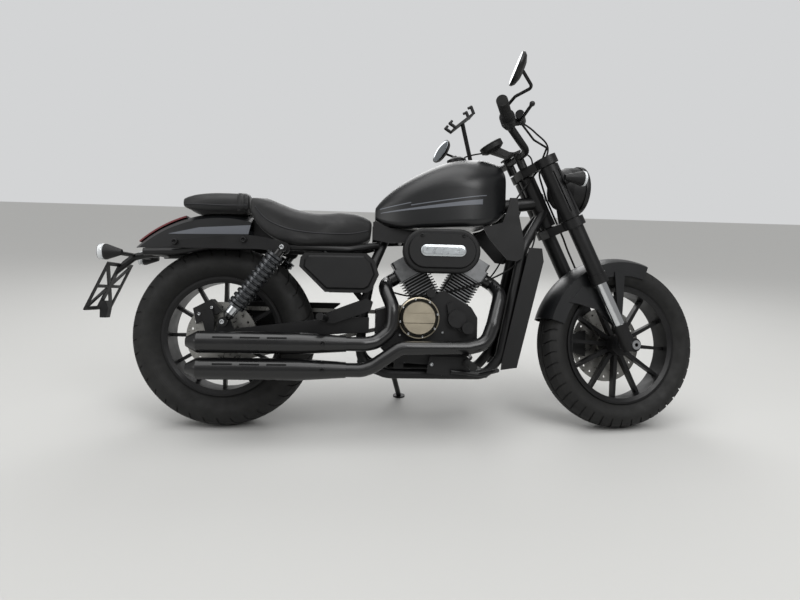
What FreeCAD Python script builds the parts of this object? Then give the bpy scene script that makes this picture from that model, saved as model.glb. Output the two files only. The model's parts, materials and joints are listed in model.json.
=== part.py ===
"""Cruiser motorcycle with a small liquid-cooled V-twin engine, parked on its side stand.

Every piece is drawn on an upright motorcycle: X forward from the rear wheel's centre, Y to the
rider's left, Z up from the ground. The fork's pieces are drawn along the steering axis. At the end
the fork is turned, the whole motorcycle leans on its stand, and the origin goes to the middle of
the floor under it. Lengths are millimetres and angles are degrees.
"""
import FreeCAD, Part
import math
import os
import Sketcher
from FreeCAD import Placement, Rotation, Vector

# Driving sizes: alias, number, meaning
SIZES = (
    ("wheelbase", 1400, "between the axles"),
    ("rake", 26, "steering axis from the upright"),
    ("trail", 90, "steering axis ahead of the front contact"),
    ("lean_angle", 9, "parked lean to the left"),
    ("steer_angle", 10, "fork turned to the left when parked"),
    ("rear_radius", 310.5, "rear tyre"),
    ("rear_half_width", 75, "rear tyre"),
    ("rear_bead", 190, "rear bead seat radius"),
    ("rear_rim_half", 57, "rear rim outside half width"),
    ("front_radius", 299, "front tyre"),
    ("front_half_width", 60, "front tyre"),
    ("front_bead", 199, "front bead seat radius"),
    ("front_rim_half", 44, "front rim outside half width"),
    ("tyre_wall", 10, "tyre wall"),
    ("flange_height", 13, "rim flange above the bead seat"),
    ("flange_wall", 6, "rim flange thickness"),
    ("barrel_wall", 7, "rim barrel thickness"),
    ("fit_gap", 0.3, "between pieces that touch"),
    ("spoke_count", 12, "blades of a wheel"),
    ("spoke_width", 13, "blade across"),
    ("spoke_depth", 24, "blade along the axle"),
    ("hub_radius", 40, "wheel hub"),
    ("hub_half", 46, "wheel hub half length"),
    ("axle_radius", 10, "wheel axles"),
    ("axle_bore", 6.5, "hole through the axles"),
    ("axle_head", 16, "axle end washer radius"),
    ("drum_radius", 60, "sprocket carrier between hub and sprocket"),
    ("disc_wall", 4.5, "brake disc thickness"),
    ("front_disc_radius", 138, "front brake disc"),
    ("rear_disc_radius", 118, "rear brake disc"),
    ("disc_band", 36, "swept band of a disc"),
    ("disc_hole", 4, "drilled hole of a disc"),
    ("disc_hole_count", 24, "drilled holes"),
    ("front_disc_side", 60, "front disc face, left of the middle"),
    ("rear_disc_side", 62, "rear disc face, right of the middle"),
    ("sprocket_radius", 92, "rear sprocket root"),
    ("tooth_count", 42, "rear sprocket teeth"),
    ("tooth_height", 6, "sprocket tooth"),
    ("sprocket_wall", 7, "sprocket thickness"),
    ("sprocket_side", 92, "sprocket middle, left of the middle"),
    ("fork_half", 100, "fork tubes from the middle"),
    ("fork_ahead", 40, "fork tubes ahead of the steering axis"),
    ("fork_tube_radius", 27, "outer fork tube"),
    ("fork_tube_foot", 552, "outer tube's lower end along the steering axis"),
    ("fork_tube_top", 1028, "outer tube's upper end along the steering axis"),
    ("fork_cover_radius", 33, "cover round a fork tube between the clamps"),
    ("fork_cover_slot", 7, "slot of a fork cover"),
    ("seal_height", 34, "seal collar"),
    ("seal_radius", 30, "seal collar"),
    ("stanchion_radius", 20, "inner fork tube"),
    ("stanchion_foot", 392, "where the inner tube enters the axle clamp"),
    ("clamp_leg_radius", 25, "leg over the axle clamp"),
    ("clamp_leg_foot", 296, "lower end of the leg"),
    ("clamp_boss_radius", 24, "boss round the axle"),
    ("clamp_boss_half", 22, "boss along the axle, half"),
    ("lower_clamp_at", 766, "lower fork clamp along the steering axis"),
    ("upper_clamp_at", 998, "upper fork clamp along the steering axis"),
    ("clamp_height", 30, "fork clamp"),
    ("clamp_rim", 11, "clamp round a fork tube"),
    ("stem_radius", 14, "steering stem"),
    ("head_radius", 28, "head tube of the frame"),
    ("head_gap", 6, "head tube from the fork clamps"),
    ("bar_radius", 12.5, "handlebar"),
    ("bar_clamp_ahead", -17, "handlebar ahead of the steering axis at the clamp"),
    ("bar_clamp_rise", 42, "handlebar over the upper fork clamp"),
    ("riser_cap", 16, "riser top over the handlebar's middle"),
    ("bar_knee_half", 110, "first bend from the middle"),
    ("bar_elbow_half", 205, "second bend from the middle"),
    ("bar_elbow_back", 75, "second bend behind the clamp"),
    ("bar_elbow_rise", 82, "second bend over the clamp"),
    ("bar_end_half", 392, "bar end from the middle"),
    ("bar_end_back", 172, "bar end behind the clamp"),
    ("bar_end_rise", 125, "bar end over the clamp"),
    ("grip_radius", 17, "grip"),
    ("grip_length", 122, "grip"),
    ("mirror_half", 378, "mirror's middle from the bike's middle"),
    ("mirror_width", 118, "mirror head"),
    ("mirror_height", 98, "mirror head"),
    ("mirror_depth", 24, "mirror head"),
    ("mirror_up", 78, "mirror over the bar end"),
    ("mirror_fore", 92, "mirror ahead of the bar end"),
    ("mirror_toe", 15, "mirror turned to the rider"),
    ("mirror_lean", 20, "mirror top leans forward"),
    ("meter_radius", 42, "round meter"),
    ("meter_depth", 28, "round meter"),
    ("meter_tilt", 5, "meter's face back from the fork's square"),
    ("lamp_radius", 86, "headlamp rim"),
    ("lamp_depth", 112, "headlamp"),
    ("lamp_back", 190, "headlamp's middle behind the front axle"),
    ("lamp_z", 861, "headlamp's middle"),
    ("signal_radius", 25, "signal lamp"),
    ("signal_length", 74, "signal lamp"),
    ("front_signal_half", 152, "front signal from the middle"),
    ("front_signal_back", 240, "front signal behind the front axle"),
    ("front_signal_z", 862, "front signal"),
    ("front_fender_gap", 14, "front fender over the tyre"),
    ("front_fender_half", 69, "front fender half width"),
    ("front_fender_skirt", 66, "front fender side height"),
    ("front_fender_start", 71, "front end, degrees over the horizon ahead"),
    ("front_fender_end", 163, "rear end, degrees over the horizon ahead"),
    ("fender_wall", 3, "fenders"),
    ("holder_from_elbow", 18, "phone holder's clamp from the bar's elbow"),
    ("panel_wall", 6, "plastic covers"),
    ("neck_cover_half", 91, "inner faces of the neck covers from the middle"),
    ("seat_panel_half", 62, "inner faces of the panels before the seat from the middle"),
    ("hose_radius", 3.5, "brake hose"),
    ("rear_fender_gap", 113.5, "rear fender crown over the tyre"),
    ("rear_fender_half", 88, "rear fender half width"),
    ("rear_fender_start", 76, "front end, degrees over the horizon ahead"),
    ("rear_fender_end", 134, "tail end, degrees over the horizon ahead"),
    ("rear_fender_floor", 604, "lower edge of the rear fender"),
    ("caliper_length", 96, "front caliper along the disc"),
    ("caliper_height", 52, "front caliper across the band"),
    ("caliper_tilt", 28, "front caliper over the line behind the axle"),
    ("caliper_half", 26, "caliper half width over the disc"),
    ("rear_caliper_tilt", 62, "rear caliper over the line behind the axle"),
    ("stay_wall", 6, "front fender stays"),
    ("switch_radius", 24, "switch housing on the bar"),
    ("switch_length", 46, "switch housing"),
    ("engine_x", 745, "crankshaft"),
    ("engine_z", 372, "crankshaft"),
    ("case_half", 118, "crankcase half width"),
    ("vee_angle", 60, "between the cylinders"),
    ("cylinder_start", 96, "cylinder base from the crankshaft"),
    ("cylinder_length", 92, "finned barrel"),
    ("barrel_half", 44, "barrel core half width"),
    ("fin_reach", 11, "fin past the barrel"),
    ("fin_count", 9, "fins of a barrel"),
    ("fin_wall", 3, "fin thickness"),
    ("head_length", 74, "cylinder head"),
    ("head_half", 58, "cylinder head half width"),
    ("pipe_radius", 23, "exhaust pipe"),
    ("silencer_radius", 35, "silencer"),
    ("silencer_rear", -50, "silencers' rear end"),
    ("silencer_front", 276, "silencers' front end"),
    ("silencer_taper", 424, "where the silencers meet the pipes"),
    ("vent_start", 8, "rearmost slot of a silencer"),
    ("vent_length", 62, "slot of a silencer"),
    ("vent_step", 84, "between the slots of a silencer"),
    ("socket", 30, "pipe's reach into its silencer"),
    ("silencer_side", 190, "silencers right of the middle"),
    ("upper_silencer_z", 303, "upper silencer"),
    ("lower_silencer_z", 219, "lower silencer"),
    ("tube_main", 17, "main frame tube"),
    ("tube_light", 12, "light frame tube"),
    ("spine_radius", 24, "frame backbone under the tank"),
    ("tunnel_gap", 0.3, "tank's tunnel over the backbone"),
    ("cradle_half", 88, "downtubes from the middle"),
    ("cradle_floor", 196, "lower frame rails over the ground"),
    ("pivot_x", 470, "swingarm pivot"),
    ("pivot_z", 362, "swingarm pivot"),
    ("arm_side", 118, "swingarm legs from the middle"),
    ("arm_wall", 26, "swingarm leg width"),
    ("arm_height", 50, "swingarm leg height"),
    ("shock_top_x", 209, "upper shock bolt"),
    ("shock_top_z", 611, "upper shock bolt"),
    ("shock_foot_x", 24, "lower shock bolt"),
    ("shock_foot_z", 366, "lower shock bolt"),
    ("tail_cross_x", -235, "tail bracket's cross rod"),
    ("tail_cross_z", 590, "tail bracket's cross rod"),
    ("strut_wall", 12, "fender strut thickness"),
    ("shock_side", 146, "shocks from the middle"),
    ("lug_wall", 12, "swingarm lug of the shock"),
    ("spring_radius", 26, "shock spring"),
    ("spring_wire", 4.5, "spring wire radius"),
    ("spring_coils", 11, "spring turns"),
    ("damper_radius", 18, "damper body"),
    ("seat_half", 132, "seat half width"),
    ("tank_half", 132, "tank half width"),
    ("cleaner_x", 733, "air cleaner's middle"),
    ("cleaner_z", 613, "air cleaner's middle"),
    ("cleaner_length", 258, "air cleaner"),
    ("cleaner_height", 147, "air cleaner"),
    ("cleaner_side", 108, "air cleaner's inner face from the middle"),
    ("cleaner_depth", 62, "air cleaner"),
    ("cleaner_step", 15, "air cleaner's raised middle from its edge"),
    ("pump_x", 790, "water pump"),
    ("pump_z", 388, "water pump"),
    ("intake_z", 604, "throttle body"),
    ("clutch_x", 661, "clutch cover"),
    ("clutch_z", 389, "clutch cover"),
    ("clutch_radius", 57, "clutch cover disc"),
    ("cover_rim", 70, "clutch cover ring"),
    ("radiator_x", 1021.6, "radiator's middle"),
    ("radiator_half", 105, "radiator half width"),
    ("radiator_height", 380, "radiator"),
    ("radiator_fins", 26, "rows of the radiator"),
    ("plate_half", 100, "number plate holder half width"),
    ("plate_height", 176, "number plate holder"),
    ("plate_border", 12, "number plate holder's frame"),
    ("drive_x", 560, "countershaft sprocket"),
    ("drive_z", 372, "countershaft sprocket"),
    ("drive_well", 70, "crankcase side behind the countershaft sprocket"),
    ("chain_pitch", 15.875, "chain pitch"),
    ("chain_height", 14, "chain plate height"),
    ("chain_wall", 3, "chain plate thickness on each side"),
    ("chain_gap", 0.5, "between the sprocket and a chain plate"),
    ("chain_radius", 34, "chain round the countershaft sprocket"),
    ("stand_x", 580, "stand pivot"),
    ("stand_y", 130, "stand pivot from the middle"),
    ("stand_z", 214, "stand pivot"),
    ("stand_reach", 50, "foot ahead of the pivot"),
    ("stand_foot_y", 312, "foot from the middle"),
    ("stand_folded_rise", 6, "folded leg over the horizontal"),
    ("stand_folded_out", 0.16, "folded leg outward for each unit back"),
    ("stand_radius", 10, "stand leg"),
    ("stand_boss_half", 11, "stand boss along its pin, half"),
    ("foot_radius", 24, "stand foot"),
    ("foot_wall", 6, "stand foot plate"),
)


class Size:
    """A number that remembers the sheet formula it comes from."""

    def __init__(self, number, text):
        self.number = float(number)
        self.text = text

    def __float__(self):
        return self.number

    def join(self, other, sign, number):
        right = other.text if isinstance(other, Size) else "%.6f" % other
        return Size(number, "(%s %s %s)" % (self.text, sign, right))

    def __add__(self, other):
        return self.join(other, "+", self.number + float(other))

    def __sub__(self, other):
        return self.join(other, "-", self.number - float(other))

    def __mul__(self, other):
        return self.join(other, "*", self.number * float(other))

    def __truediv__(self, other):
        return self.join(other, "/", self.number / float(other))

    def __radd__(self, other):
        return self + other

    def __rmul__(self, other):
        return self * other

    def __rsub__(self, other):
        return (self * -1) + other

    def __neg__(self):
        return self * -1


def sine(angle):
    return Size(math.sin(math.radians(float(angle))), "sin(%s * 1 deg)" % angle.text)


def cosine(angle):
    return Size(math.cos(math.radians(float(angle))), "cos(%s * 1 deg)" % angle.text)


DOC = FreeCAD.newDocument("Cruiser")
SHEET = DOC.addObject("Spreadsheet::Sheet", "Sizes")
for row, (alias, number, meaning) in enumerate(SIZES, 1):
    SHEET.set("A%d" % row, meaning)
    SHEET.set("B%d" % row, str(number))
    SHEET.setAlias("B%d" % row, alias)
DOC.recompute()


class SheetSizes:
    """Reads a size by its alias."""

    def __getattr__(self, alias):
        return Size(SHEET.get(alias), "Sizes." + alias)


S = SheetSizes()
NODES = {}


def vec(x, y, z):
    return Vector(float(x), float(y), float(z))


def bind(thing, path, value):
    """Ties a property or a named constraint to the sheet."""
    if isinstance(value, Size):
        thing.setExpression(path, value.text)


def ring(x, y, radius):
    return ("ring", x, y, radius)


def outline(*points):
    """Closed outline of corners (x, y); (x, y, "via") is a spot that an arc passes through."""
    return ("outline", points)


def box_outline(x0, y0, x1, y1):
    return outline((x0, y0), (x1, y0), (x1, y1), (x0, y1))


def fix(sketch, item, spot, x, y):
    """Holds one point of a sketch at x, y."""
    for kind, value in (("DistanceX", x), ("DistanceY", y)):
        number = sketch.addConstraint(Sketcher.Constraint(kind, item, spot, float(value)))
        if isinstance(value, Size):
            label = "%s%d" % (kind, number)
            sketch.renameConstraint(number, label)
            sketch.setExpression("Constraints." + label, value.text)


def draw_ring(sketch, x, y, radius):
    circle = Part.Circle(vec(x, y, 0), Vector(0, 0, 1), float(radius))
    item = sketch.addGeometry(circle)
    fix(sketch, item, 3, x, y)
    number = sketch.addConstraint(Sketcher.Constraint("Radius", item, float(radius)))
    if isinstance(radius, Size):
        label = "Radius%d" % number
        sketch.renameConstraint(number, label)
        sketch.setExpression("Constraints." + label, radius.text)


def draw_outline(sketch, points):
    corners = [p for p in points if len(p) == 2]
    vias = {}
    corner = -1
    for p in points:
        if len(p) == 2:
            corner += 1
        else:
            vias[corner] = p
    items = []
    for i, start in enumerate(corners):
        end = corners[(i + 1) % len(corners)]
        a, b = vec(start[0], start[1], 0), vec(end[0], end[1], 0)
        if i in vias:
            curve = Part.Arc(a, vec(vias[i][0], vias[i][1], 0), b)
            item = sketch.addGeometry(curve)
            turned = sketch.getPoint(item, 1).distanceToPoint(a) > sketch.getPoint(item, 2).distanceToPoint(a)
            items.append((item, 2, 1) if turned else (item, 1, 2))
        else:
            items.append((sketch.addGeometry(Part.LineSegment(a, b)), 1, 2))
    for i, (item, first, last) in enumerate(items):
        follower = items[(i + 1) % len(items)]
        sketch.addConstraint(Sketcher.Constraint("Coincident", item, last, follower[0], follower[1]))
        fix(sketch, item, first, corners[i][0], corners[i][1])
        if i in vias:
            x, y = vias[i][:2]
            mark = sketch.addGeometry(Part.Point(vec(x, y, 0)), True)
            fix(sketch, mark, 1, x, y)
            sketch.addConstraint(Sketcher.Constraint("PointOnObject", mark, 1, item))


class Piece:
    """A body with short ways to sketch, pad, cut, turn, repeat and round."""

    def __init__(self, name, group, at=None):
        self.body = DOC.addObject("PartDesign::Body", name)
        self.body.Label = name
        self.origin = {item.Role: item for item in self.body.Origin.OriginFeatures}
        NODES[name] = (self.body, group, at or Placement())

    def sketch(self, plane, loops, offset=0):
        sketch = self.body.newObject("Sketcher::SketchObject", "Sketch")
        sketch.AttachmentSupport = (self.origin[plane + "_Plane"], "")
        sketch.MapMode = "FlatFace"
        sketch.AttachmentOffset = Placement(vec(0, 0, offset), Rotation())
        bind(sketch, ".AttachmentOffset.Base.z", offset)
        for loop in loops:
            if loop[0] == "ring":
                draw_ring(sketch, *loop[1:])
            else:
                draw_outline(sketch, loop[1])
        return sketch

    def feature(self, kind, sketch):
        feature = self.body.newObject("PartDesign::" + kind, kind)
        feature.Profile = sketch
        return feature

    def pad(self, plane, loops, length, offset=0, both=True, back=False):
        pad = self.feature("Pad", self.sketch(plane, loops, offset))
        pad.Length = float(length)
        bind(pad, "Length", length)
        pad.SideType = "Symmetric" if both else "One side"
        pad.Reversed = back
        return pad

    def pocket(self, plane, loops, length, offset=0, both=True, back=False):
        pocket = self.feature("Pocket", self.sketch(plane, loops, offset))
        pocket.Length = float(length)
        bind(pocket, "Length", length)
        pocket.SideType = "Symmetric" if both else "One side"
        pocket.Reversed = back
        return pocket

    def turn(self, plane, loops, axis="V_Axis", kind="Revolution", offset=0):
        sketch = self.sketch(plane, loops, offset)
        turned = self.feature(kind, sketch)
        turned.ReferenceAxis = (sketch, [axis])
        turned.Angle = 360
        return turned

    def around(self, features, count, axis="Y_Axis"):
        pattern = self.body.newObject("PartDesign::PolarPattern", "PolarPattern")
        pattern.Originals = features
        pattern.Axis = (self.origin[axis], [""])
        pattern.Angle = 360
        pattern.Occurrences = int(float(count))
        bind(pattern, "Occurrences", count)
        self.body.Tip = pattern
        return pattern

    def row(self, features, axis, length, count):
        pattern = self.body.newObject("PartDesign::LinearPattern", "LinearPattern")
        pattern.Originals = features
        pattern.Direction = (self.origin[axis], [""])
        pattern.Length = float(length)
        bind(pattern, "Length", length)
        pattern.Occurrences = int(float(count))
        bind(pattern, "Occurrences", count)
        self.body.Tip = pattern
        return pattern

    def mirror(self, features, plane):
        pattern = self.body.newObject("PartDesign::Mirrored", "Mirrored")
        pattern.Originals = features
        pattern.MirrorPlane = (self.origin[plane + "_Plane"], [""])
        self.body.Tip = pattern
        return pattern

    def round(self, radius, chosen, kind="Fillet"):
        """Rounds or chamfers the edges for which chosen(edge) is true."""
        DOC.recompute()
        base = self.body.Tip
        names = ["Edge%d" % (i + 1) for i, edge in enumerate(base.Shape.Edges) if chosen(edge)]
        feature = self.body.newObject("PartDesign::" + kind, kind)
        feature.Base = (base, names)
        path = "Radius" if kind == "Fillet" else "Size"
        setattr(feature, path, float(radius))
        bind(feature, path, radius)
        return feature


def along(edge, axis):
    """True for a straight edge along the axis 0, 1 or 2."""
    if not isinstance(edge.Curve, Part.Line):
        return False
    way = edge.Curve.Direction
    return abs(abs(way[axis]) - 1) < 1e-6


def shaped(name, group, shape, at=None):
    """A node whose shape is worked out by Part's own functions."""
    turned = shape.Placement.toMatrix()
    shape.Placement = Placement()
    feature = DOC.addObject("Part::Feature", name)
    feature.Label = name
    feature.Shape = shape.transformed(turned, copy=True)
    NODES[name] = (feature, group, at or Placement())
    return feature


def rod(start, end, radius):
    way = end - start
    return Part.makeCylinder(float(radius), way.Length, start, way)


def tube(points, radius, bend, bore=0):
    """Round tube along straight runs joined by tangent arcs of radius bend."""
    spots = [vec(*p) for p in points]
    edges = []
    here = spots[0]
    for before, corner, after in zip(spots, spots[1:], spots[2:]):
        back = (before - corner).normalize()
        ahead = (after - corner).normalize()
        half = back.getAngle(ahead) / 2
        room = 0.48 * min((before - corner).Length, (after - corner).Length)
        cut = min(float(bend) / math.tan(half), room)
        into, out = corner + back * cut, corner + ahead * cut
        middle = (back + ahead).normalize()
        radius_here = cut * math.tan(half)
        centre = corner + middle * (radius_here / math.sin(half))
        edges.append(Part.LineSegment(here, into).toShape())
        edges.append(Part.Arc(into, centre - middle * radius_here, out).toShape())
        here = out
    edges.append(Part.LineSegment(here, spots[-1]).toShape())
    path = Part.Wire(edges)
    way = (spots[1] - spots[0]).normalize()
    solid = sweep(path, spots[0], way, radius)
    if float(bore) > 0:
        solid = solid.cut(sweep(path, spots[0], way, bore))
    return solid


def sweep(path, start, way, radius):
    circle = Part.Wire([Part.makeCircle(float(radius), start, way)])
    return path.makePipeShell([circle], True, True)


# Tyre outside from its widest ring to the crown: share of the height over the bead seat,
# share of the half width
TYRE_RINGS = ((0.48, 1.0), (0.74, 0.965), (0.87, 0.81), (0.965, 0.46), (1.0, 0.14))


def tyre_rings(radius, half_width, bead):
    """Rings (radius, distance from the middle) of a tyre's outside, widest first."""
    seat = bead + S.fit_gap
    return [(seat + (radius - seat) * high, half_width * wide) for high, wide in TYRE_RINGS]


def make_tyre(name, group, radius, half_width, bead, rim_half, at):
    """Tyre section: bead, bulging wall and crowned tread in straight runs, with an open inside."""
    tyre = Piece(name, group, at)
    seat = bead + S.fit_gap
    bead_half = rim_half - S.flange_wall - S.fit_gap
    free = bead + S.flange_height + 1
    rings = tyre_rings(radius, half_width, bead)
    under_tread = rings[2][0] - S.tyre_wall
    hollow_half = rings[2][1] - S.tyre_wall
    right = [(seat, -bead_half), (free, -bead_half)] + [(r, -y) for r, y in rings]
    left = [(r, y) for r, y in reversed(rings)] + [(free, bead_half), (seat, bead_half)]
    hollow = [
        (seat, bead_half - S.tyre_wall), (under_tread, hollow_half), (under_tread, -hollow_half),
        (seat, S.tyre_wall - bead_half),
    ]
    tyre.turn("XY", [outline(*right, *left, *hollow)])
    return tyre


def make_rim(name, group, bead, rim_half, at):
    """Rim barrel with flanges, hub and straight blades between them."""
    rim = Piece(name, group, at)
    lip = bead + S.flange_height
    well = bead - S.barrel_wall
    barrel = outline(
        (well, -rim_half + S.flange_wall),
        (lip - S.barrel_wall, -rim_half),
        (lip, -rim_half),
        (lip, -rim_half + S.flange_wall),
        (bead, -rim_half + S.flange_wall),
        (bead, rim_half - S.flange_wall),
        (lip, rim_half - S.flange_wall),
        (lip, rim_half),
        (lip - S.barrel_wall, rim_half),
        (well, rim_half - S.flange_wall),
    )
    rim.turn("XY", [barrel])
    hub_bore = S.axle_radius + S.fit_gap
    rim.turn("XY", [box_outline(hub_bore, -S.hub_half, S.hub_radius, S.hub_half)])
    root = S.hub_radius - 6
    tip = bead - S.barrel_wall / 2
    blade = outline(
        (root, -S.spoke_width * 0.6),
        (tip, -S.spoke_width * 0.4),
        (tip, S.spoke_width * 0.4),
        (root, S.spoke_width * 0.6),
    )
    spoke = rim.pad("XZ", [blade], S.spoke_depth)
    rim.around([spoke], S.spoke_count)
    return rim


REAR = Placement(vec(0, 0, S.rear_radius), Rotation())
AXLE_ALONG = S.trail * sine(S.rake) + S.front_radius * cosine(S.rake)
AXLE_AHEAD = S.front_radius * sine(S.rake) - S.trail * cosine(S.rake)
TO_FORK = Placement(vec(S.wheelbase + S.trail, 0, 0), Rotation(Vector(0, 1, 0), -float(S.rake)))
FRONT = Placement(vec(AXLE_AHEAD, 0, AXLE_ALONG), Rotation())


def fork_ahead(x, z):
    """Distance ahead of the steering axis of an upright spot x, z."""
    return (x - S.wheelbase - S.trail) * cosine(S.rake) + z * sine(S.rake)


def fork_along(x, z):
    """Distance along the steering axis, from the ground, of an upright spot x, z."""
    return z * cosine(S.rake) - (x - S.wheelbase - S.trail) * sine(S.rake)


def make_disc(name, group, radius, side, inner_face, at):
    """Drilled brake disc on a carrier that seats on the hub."""
    disc = Piece(name, group, at)
    band = radius - S.disc_band
    disc.pad("XZ", [ring(0, 0, radius), ring(0, 0, band)], S.disc_wall, offset=-side)
    disc.pad("XZ", [ring(0, 0, band + 4), ring(0, 0, S.axle_radius + 8)], S.disc_wall - 1, offset=-side)
    carrier = abs(float(side)) / float(side)
    length = side * carrier - inner_face - S.fit_gap
    rings = [ring(0, 0, S.hub_radius - 4), ring(0, 0, S.axle_radius + 8)]
    disc.pad("XZ", rings, length, offset=(inner_face + S.fit_gap + length / 2) * -carrier)
    hole_at = radius - S.disc_band / 2
    hole = disc.pocket("XZ", [ring(hole_at, 0, S.disc_hole)], S.disc_wall * 2, offset=-side)
    disc.around([hole], S.disc_hole_count)
    return disc


def make_wheels():
    make_tyre("rear_tyre", "rear_wheel", S.rear_radius, S.rear_half_width, S.rear_bead, S.rear_rim_half, REAR)
    make_rim("rear_rim", "rear_wheel", S.rear_bead, S.rear_rim_half, REAR)
    make_disc("rear_disc", "rear_wheel", S.rear_disc_radius, -S.rear_disc_side, S.hub_half, REAR)
    make_tyre(
        "front_tyre", "front_wheel", S.front_radius, S.front_half_width, S.front_bead, S.front_rim_half, FRONT
    )
    make_rim("front_rim", "front_wheel", S.front_bead, S.front_rim_half, FRONT)
    make_disc("front_disc", "front_wheel", S.front_disc_radius, S.front_disc_side, S.hub_half, FRONT)
    sprocket = Piece("rear_sprocket", "rear_wheel", REAR)
    root = S.sprocket_radius
    sprocket.pad("XZ", [ring(0, 0, root), ring(0, 0, S.axle_radius + 8)], S.sprocket_wall, offset=-S.sprocket_side)
    length = S.sprocket_side - S.hub_half - S.fit_gap
    drum = [ring(0, 0, S.drum_radius), ring(0, 0, S.axle_radius + 8)]
    sprocket.pad("XZ", drum, length, offset=-S.hub_half - S.fit_gap - length / 2)
    tooth = outline((root - 2, -4), (root + S.tooth_height, -1.2), (root + S.tooth_height, 1.2), (root - 2, 4))
    teeth = sprocket.pad("XZ", [tooth], S.sprocket_wall, offset=-S.sprocket_side)
    sprocket.around([teeth], S.tooth_count)


def make_fork():
    a, half = S.fork_ahead, S.fork_half
    tubes = Piece("fork_tubes", "fork")
    length = S.fork_tube_top - S.fork_tube_foot
    both = [ring(a, half, S.fork_tube_radius), ring(a, -half, S.fork_tube_radius)]
    tubes.pad("XY", both, length, offset=S.fork_tube_foot, both=False)
    seals = [ring(a, half, S.seal_radius), ring(a, -half, S.seal_radius)]
    tubes.pad("XY", seals, S.seal_height, offset=S.fork_tube_foot, both=False)
    low = S.lower_clamp_at + S.clamp_height
    height = S.upper_clamp_at - low
    covers = [ring(a, half, S.fork_cover_radius), ring(a, -half, S.fork_cover_radius)]
    tubes.pad("XY", covers, height - 8, offset=low + 4, both=False)
    floor = half + S.fork_cover_radius - 5
    slots = [box_outline(x, low + 26, x + S.fork_cover_slot, low + height - 26) for x in (a - 14, a + 5)]
    tubes.pocket("XZ", slots, 12, offset=floor, both=False, back=True)
    tubes.pocket("XZ", slots, 12, offset=-floor, both=False)
    bore = S.stanchion_radius + S.fit_gap
    bores = [ring(a, half, bore), ring(a, -half, bore)]
    tubes.pocket("XY", bores, length / 2, offset=S.fork_tube_foot, both=False, back=True)
    inner = Piece("stanchions", "fork")
    rods = [ring(a, half, S.stanchion_radius), ring(a, -half, S.stanchion_radius)]
    reach = S.fork_tube_foot - S.stanchion_foot + length / 3
    inner.pad("XY", rods, reach, offset=S.stanchion_foot, both=False)
    clamps = Piece("axle_clamps", "fork")
    legs = [ring(a, half, S.clamp_leg_radius), ring(a, -half, S.clamp_leg_radius)]
    clamps.pad("XY", legs, S.stanchion_foot - S.clamp_leg_foot, offset=S.clamp_leg_foot, both=False)
    boss = [ring(AXLE_AHEAD, AXLE_ALONG, S.clamp_boss_radius)]
    for side in (half, -half):
        clamps.pad("XZ", boss, S.clamp_boss_half * 2, offset=side)
    wall = 10
    lug = outline(
        (a - 8, AXLE_ALONG + 20), (AXLE_AHEAD - 108, AXLE_ALONG + 26), (AXLE_AHEAD - 100, AXLE_ALONG + 74),
        (a - 8, S.stanchion_foot - 6),
    )
    clamps.pad("XZ", [lug], wall, offset=-S.front_disc_side - 6 - S.caliper_half - S.fit_gap - wall / 2)
    clamps.pocket("XZ", [ring(AXLE_AHEAD, AXLE_ALONG, S.axle_radius + S.fit_gap)], half * 4)
    yoke = Piece("fork_clamps", "fork")
    rim = S.fork_tube_radius + S.clamp_rim
    for height in (S.lower_clamp_at, S.upper_clamp_at):
        plate = outline((-26, -30), (-26, 30), (a - 10, half + 8), (a + 16, half), (a + 16, -half), (a - 10, -half - 8))
        rings = [ring(a, half, rim), ring(a, -half, rim)]
        yoke.pad("XY", [plate], S.clamp_height, offset=height, both=False)
        yoke.pad("XY", rings, S.clamp_height, offset=height, both=False)
    holes = [ring(a, half, S.fork_tube_radius), ring(a, -half, S.fork_tube_radius)]
    stem_length = S.upper_clamp_at - S.lower_clamp_at + S.clamp_height
    yoke.pocket("XY", holes, S.fork_tube_top, both=False, back=True)
    yoke.pad("XY", [ring(0, 0, S.stem_radius)], stem_length, offset=S.lower_clamp_at, both=False)
    axle = Piece("front_axle", "fork", FRONT)
    reach = half + S.clamp_leg_radius + S.fit_gap
    axle.pad("XZ", [ring(0, 0, S.axle_radius)], reach * 2 + 4)
    for side in (1, -1):
        axle.pad("XZ", [ring(0, 0, S.axle_head)], 6, offset=(reach + 3) * side)
    spacer = half - S.clamp_leg_radius - S.fit_gap - S.hub_half - 1
    middle = S.hub_half + 1 + spacer / 2
    for side in (1, -1):
        axle.pad("XZ", [ring(0, 0, S.axle_radius + 5)], spacer, offset=middle * side)
    axle.pocket("XZ", [ring(0, 0, S.axle_bore)], reach * 4)


def bar_along():
    """Handlebar's middle along the steering axis at its clamp."""
    return S.upper_clamp_at + S.clamp_height + S.bar_clamp_rise


def bar_spot(side, half, back, rise):
    """Spot of the handlebar in the fork's frame."""
    return (S.bar_clamp_ahead - back, half * side, bar_along() + rise)


def bar_points():
    right = [
        bar_spot(-1, S.bar_end_half, S.bar_end_back, S.bar_end_rise),
        bar_spot(-1, S.bar_elbow_half, S.bar_elbow_back, S.bar_elbow_rise),
        bar_spot(-1, S.bar_knee_half, 0, 0),
    ]
    left = [(x, -y, z) for x, y, z in reversed(right)]
    return right + left


def along_grip(side, reach):
    """Centre and outward direction on the grip, reach inward from the bar end."""
    end = vec(*bar_spot(side, S.bar_end_half, S.bar_end_back, S.bar_end_rise))
    elbow = vec(*bar_spot(side, S.bar_elbow_half, S.bar_elbow_back, S.bar_elbow_rise))
    way = (end - elbow).normalize()
    return end - way * float(reach), way


def master_ends():
    """Inner and outer end of the brake master cylinder's axis, ahead of the right lever's perch."""
    perch, way = along_grip(-1, S.grip_length + S.switch_length + 22 + S.fit_gap * 2)
    middle = perch + Vector(0, 0, 1).cross(way) * 40
    return middle - way * 24, middle + way * 40


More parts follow.
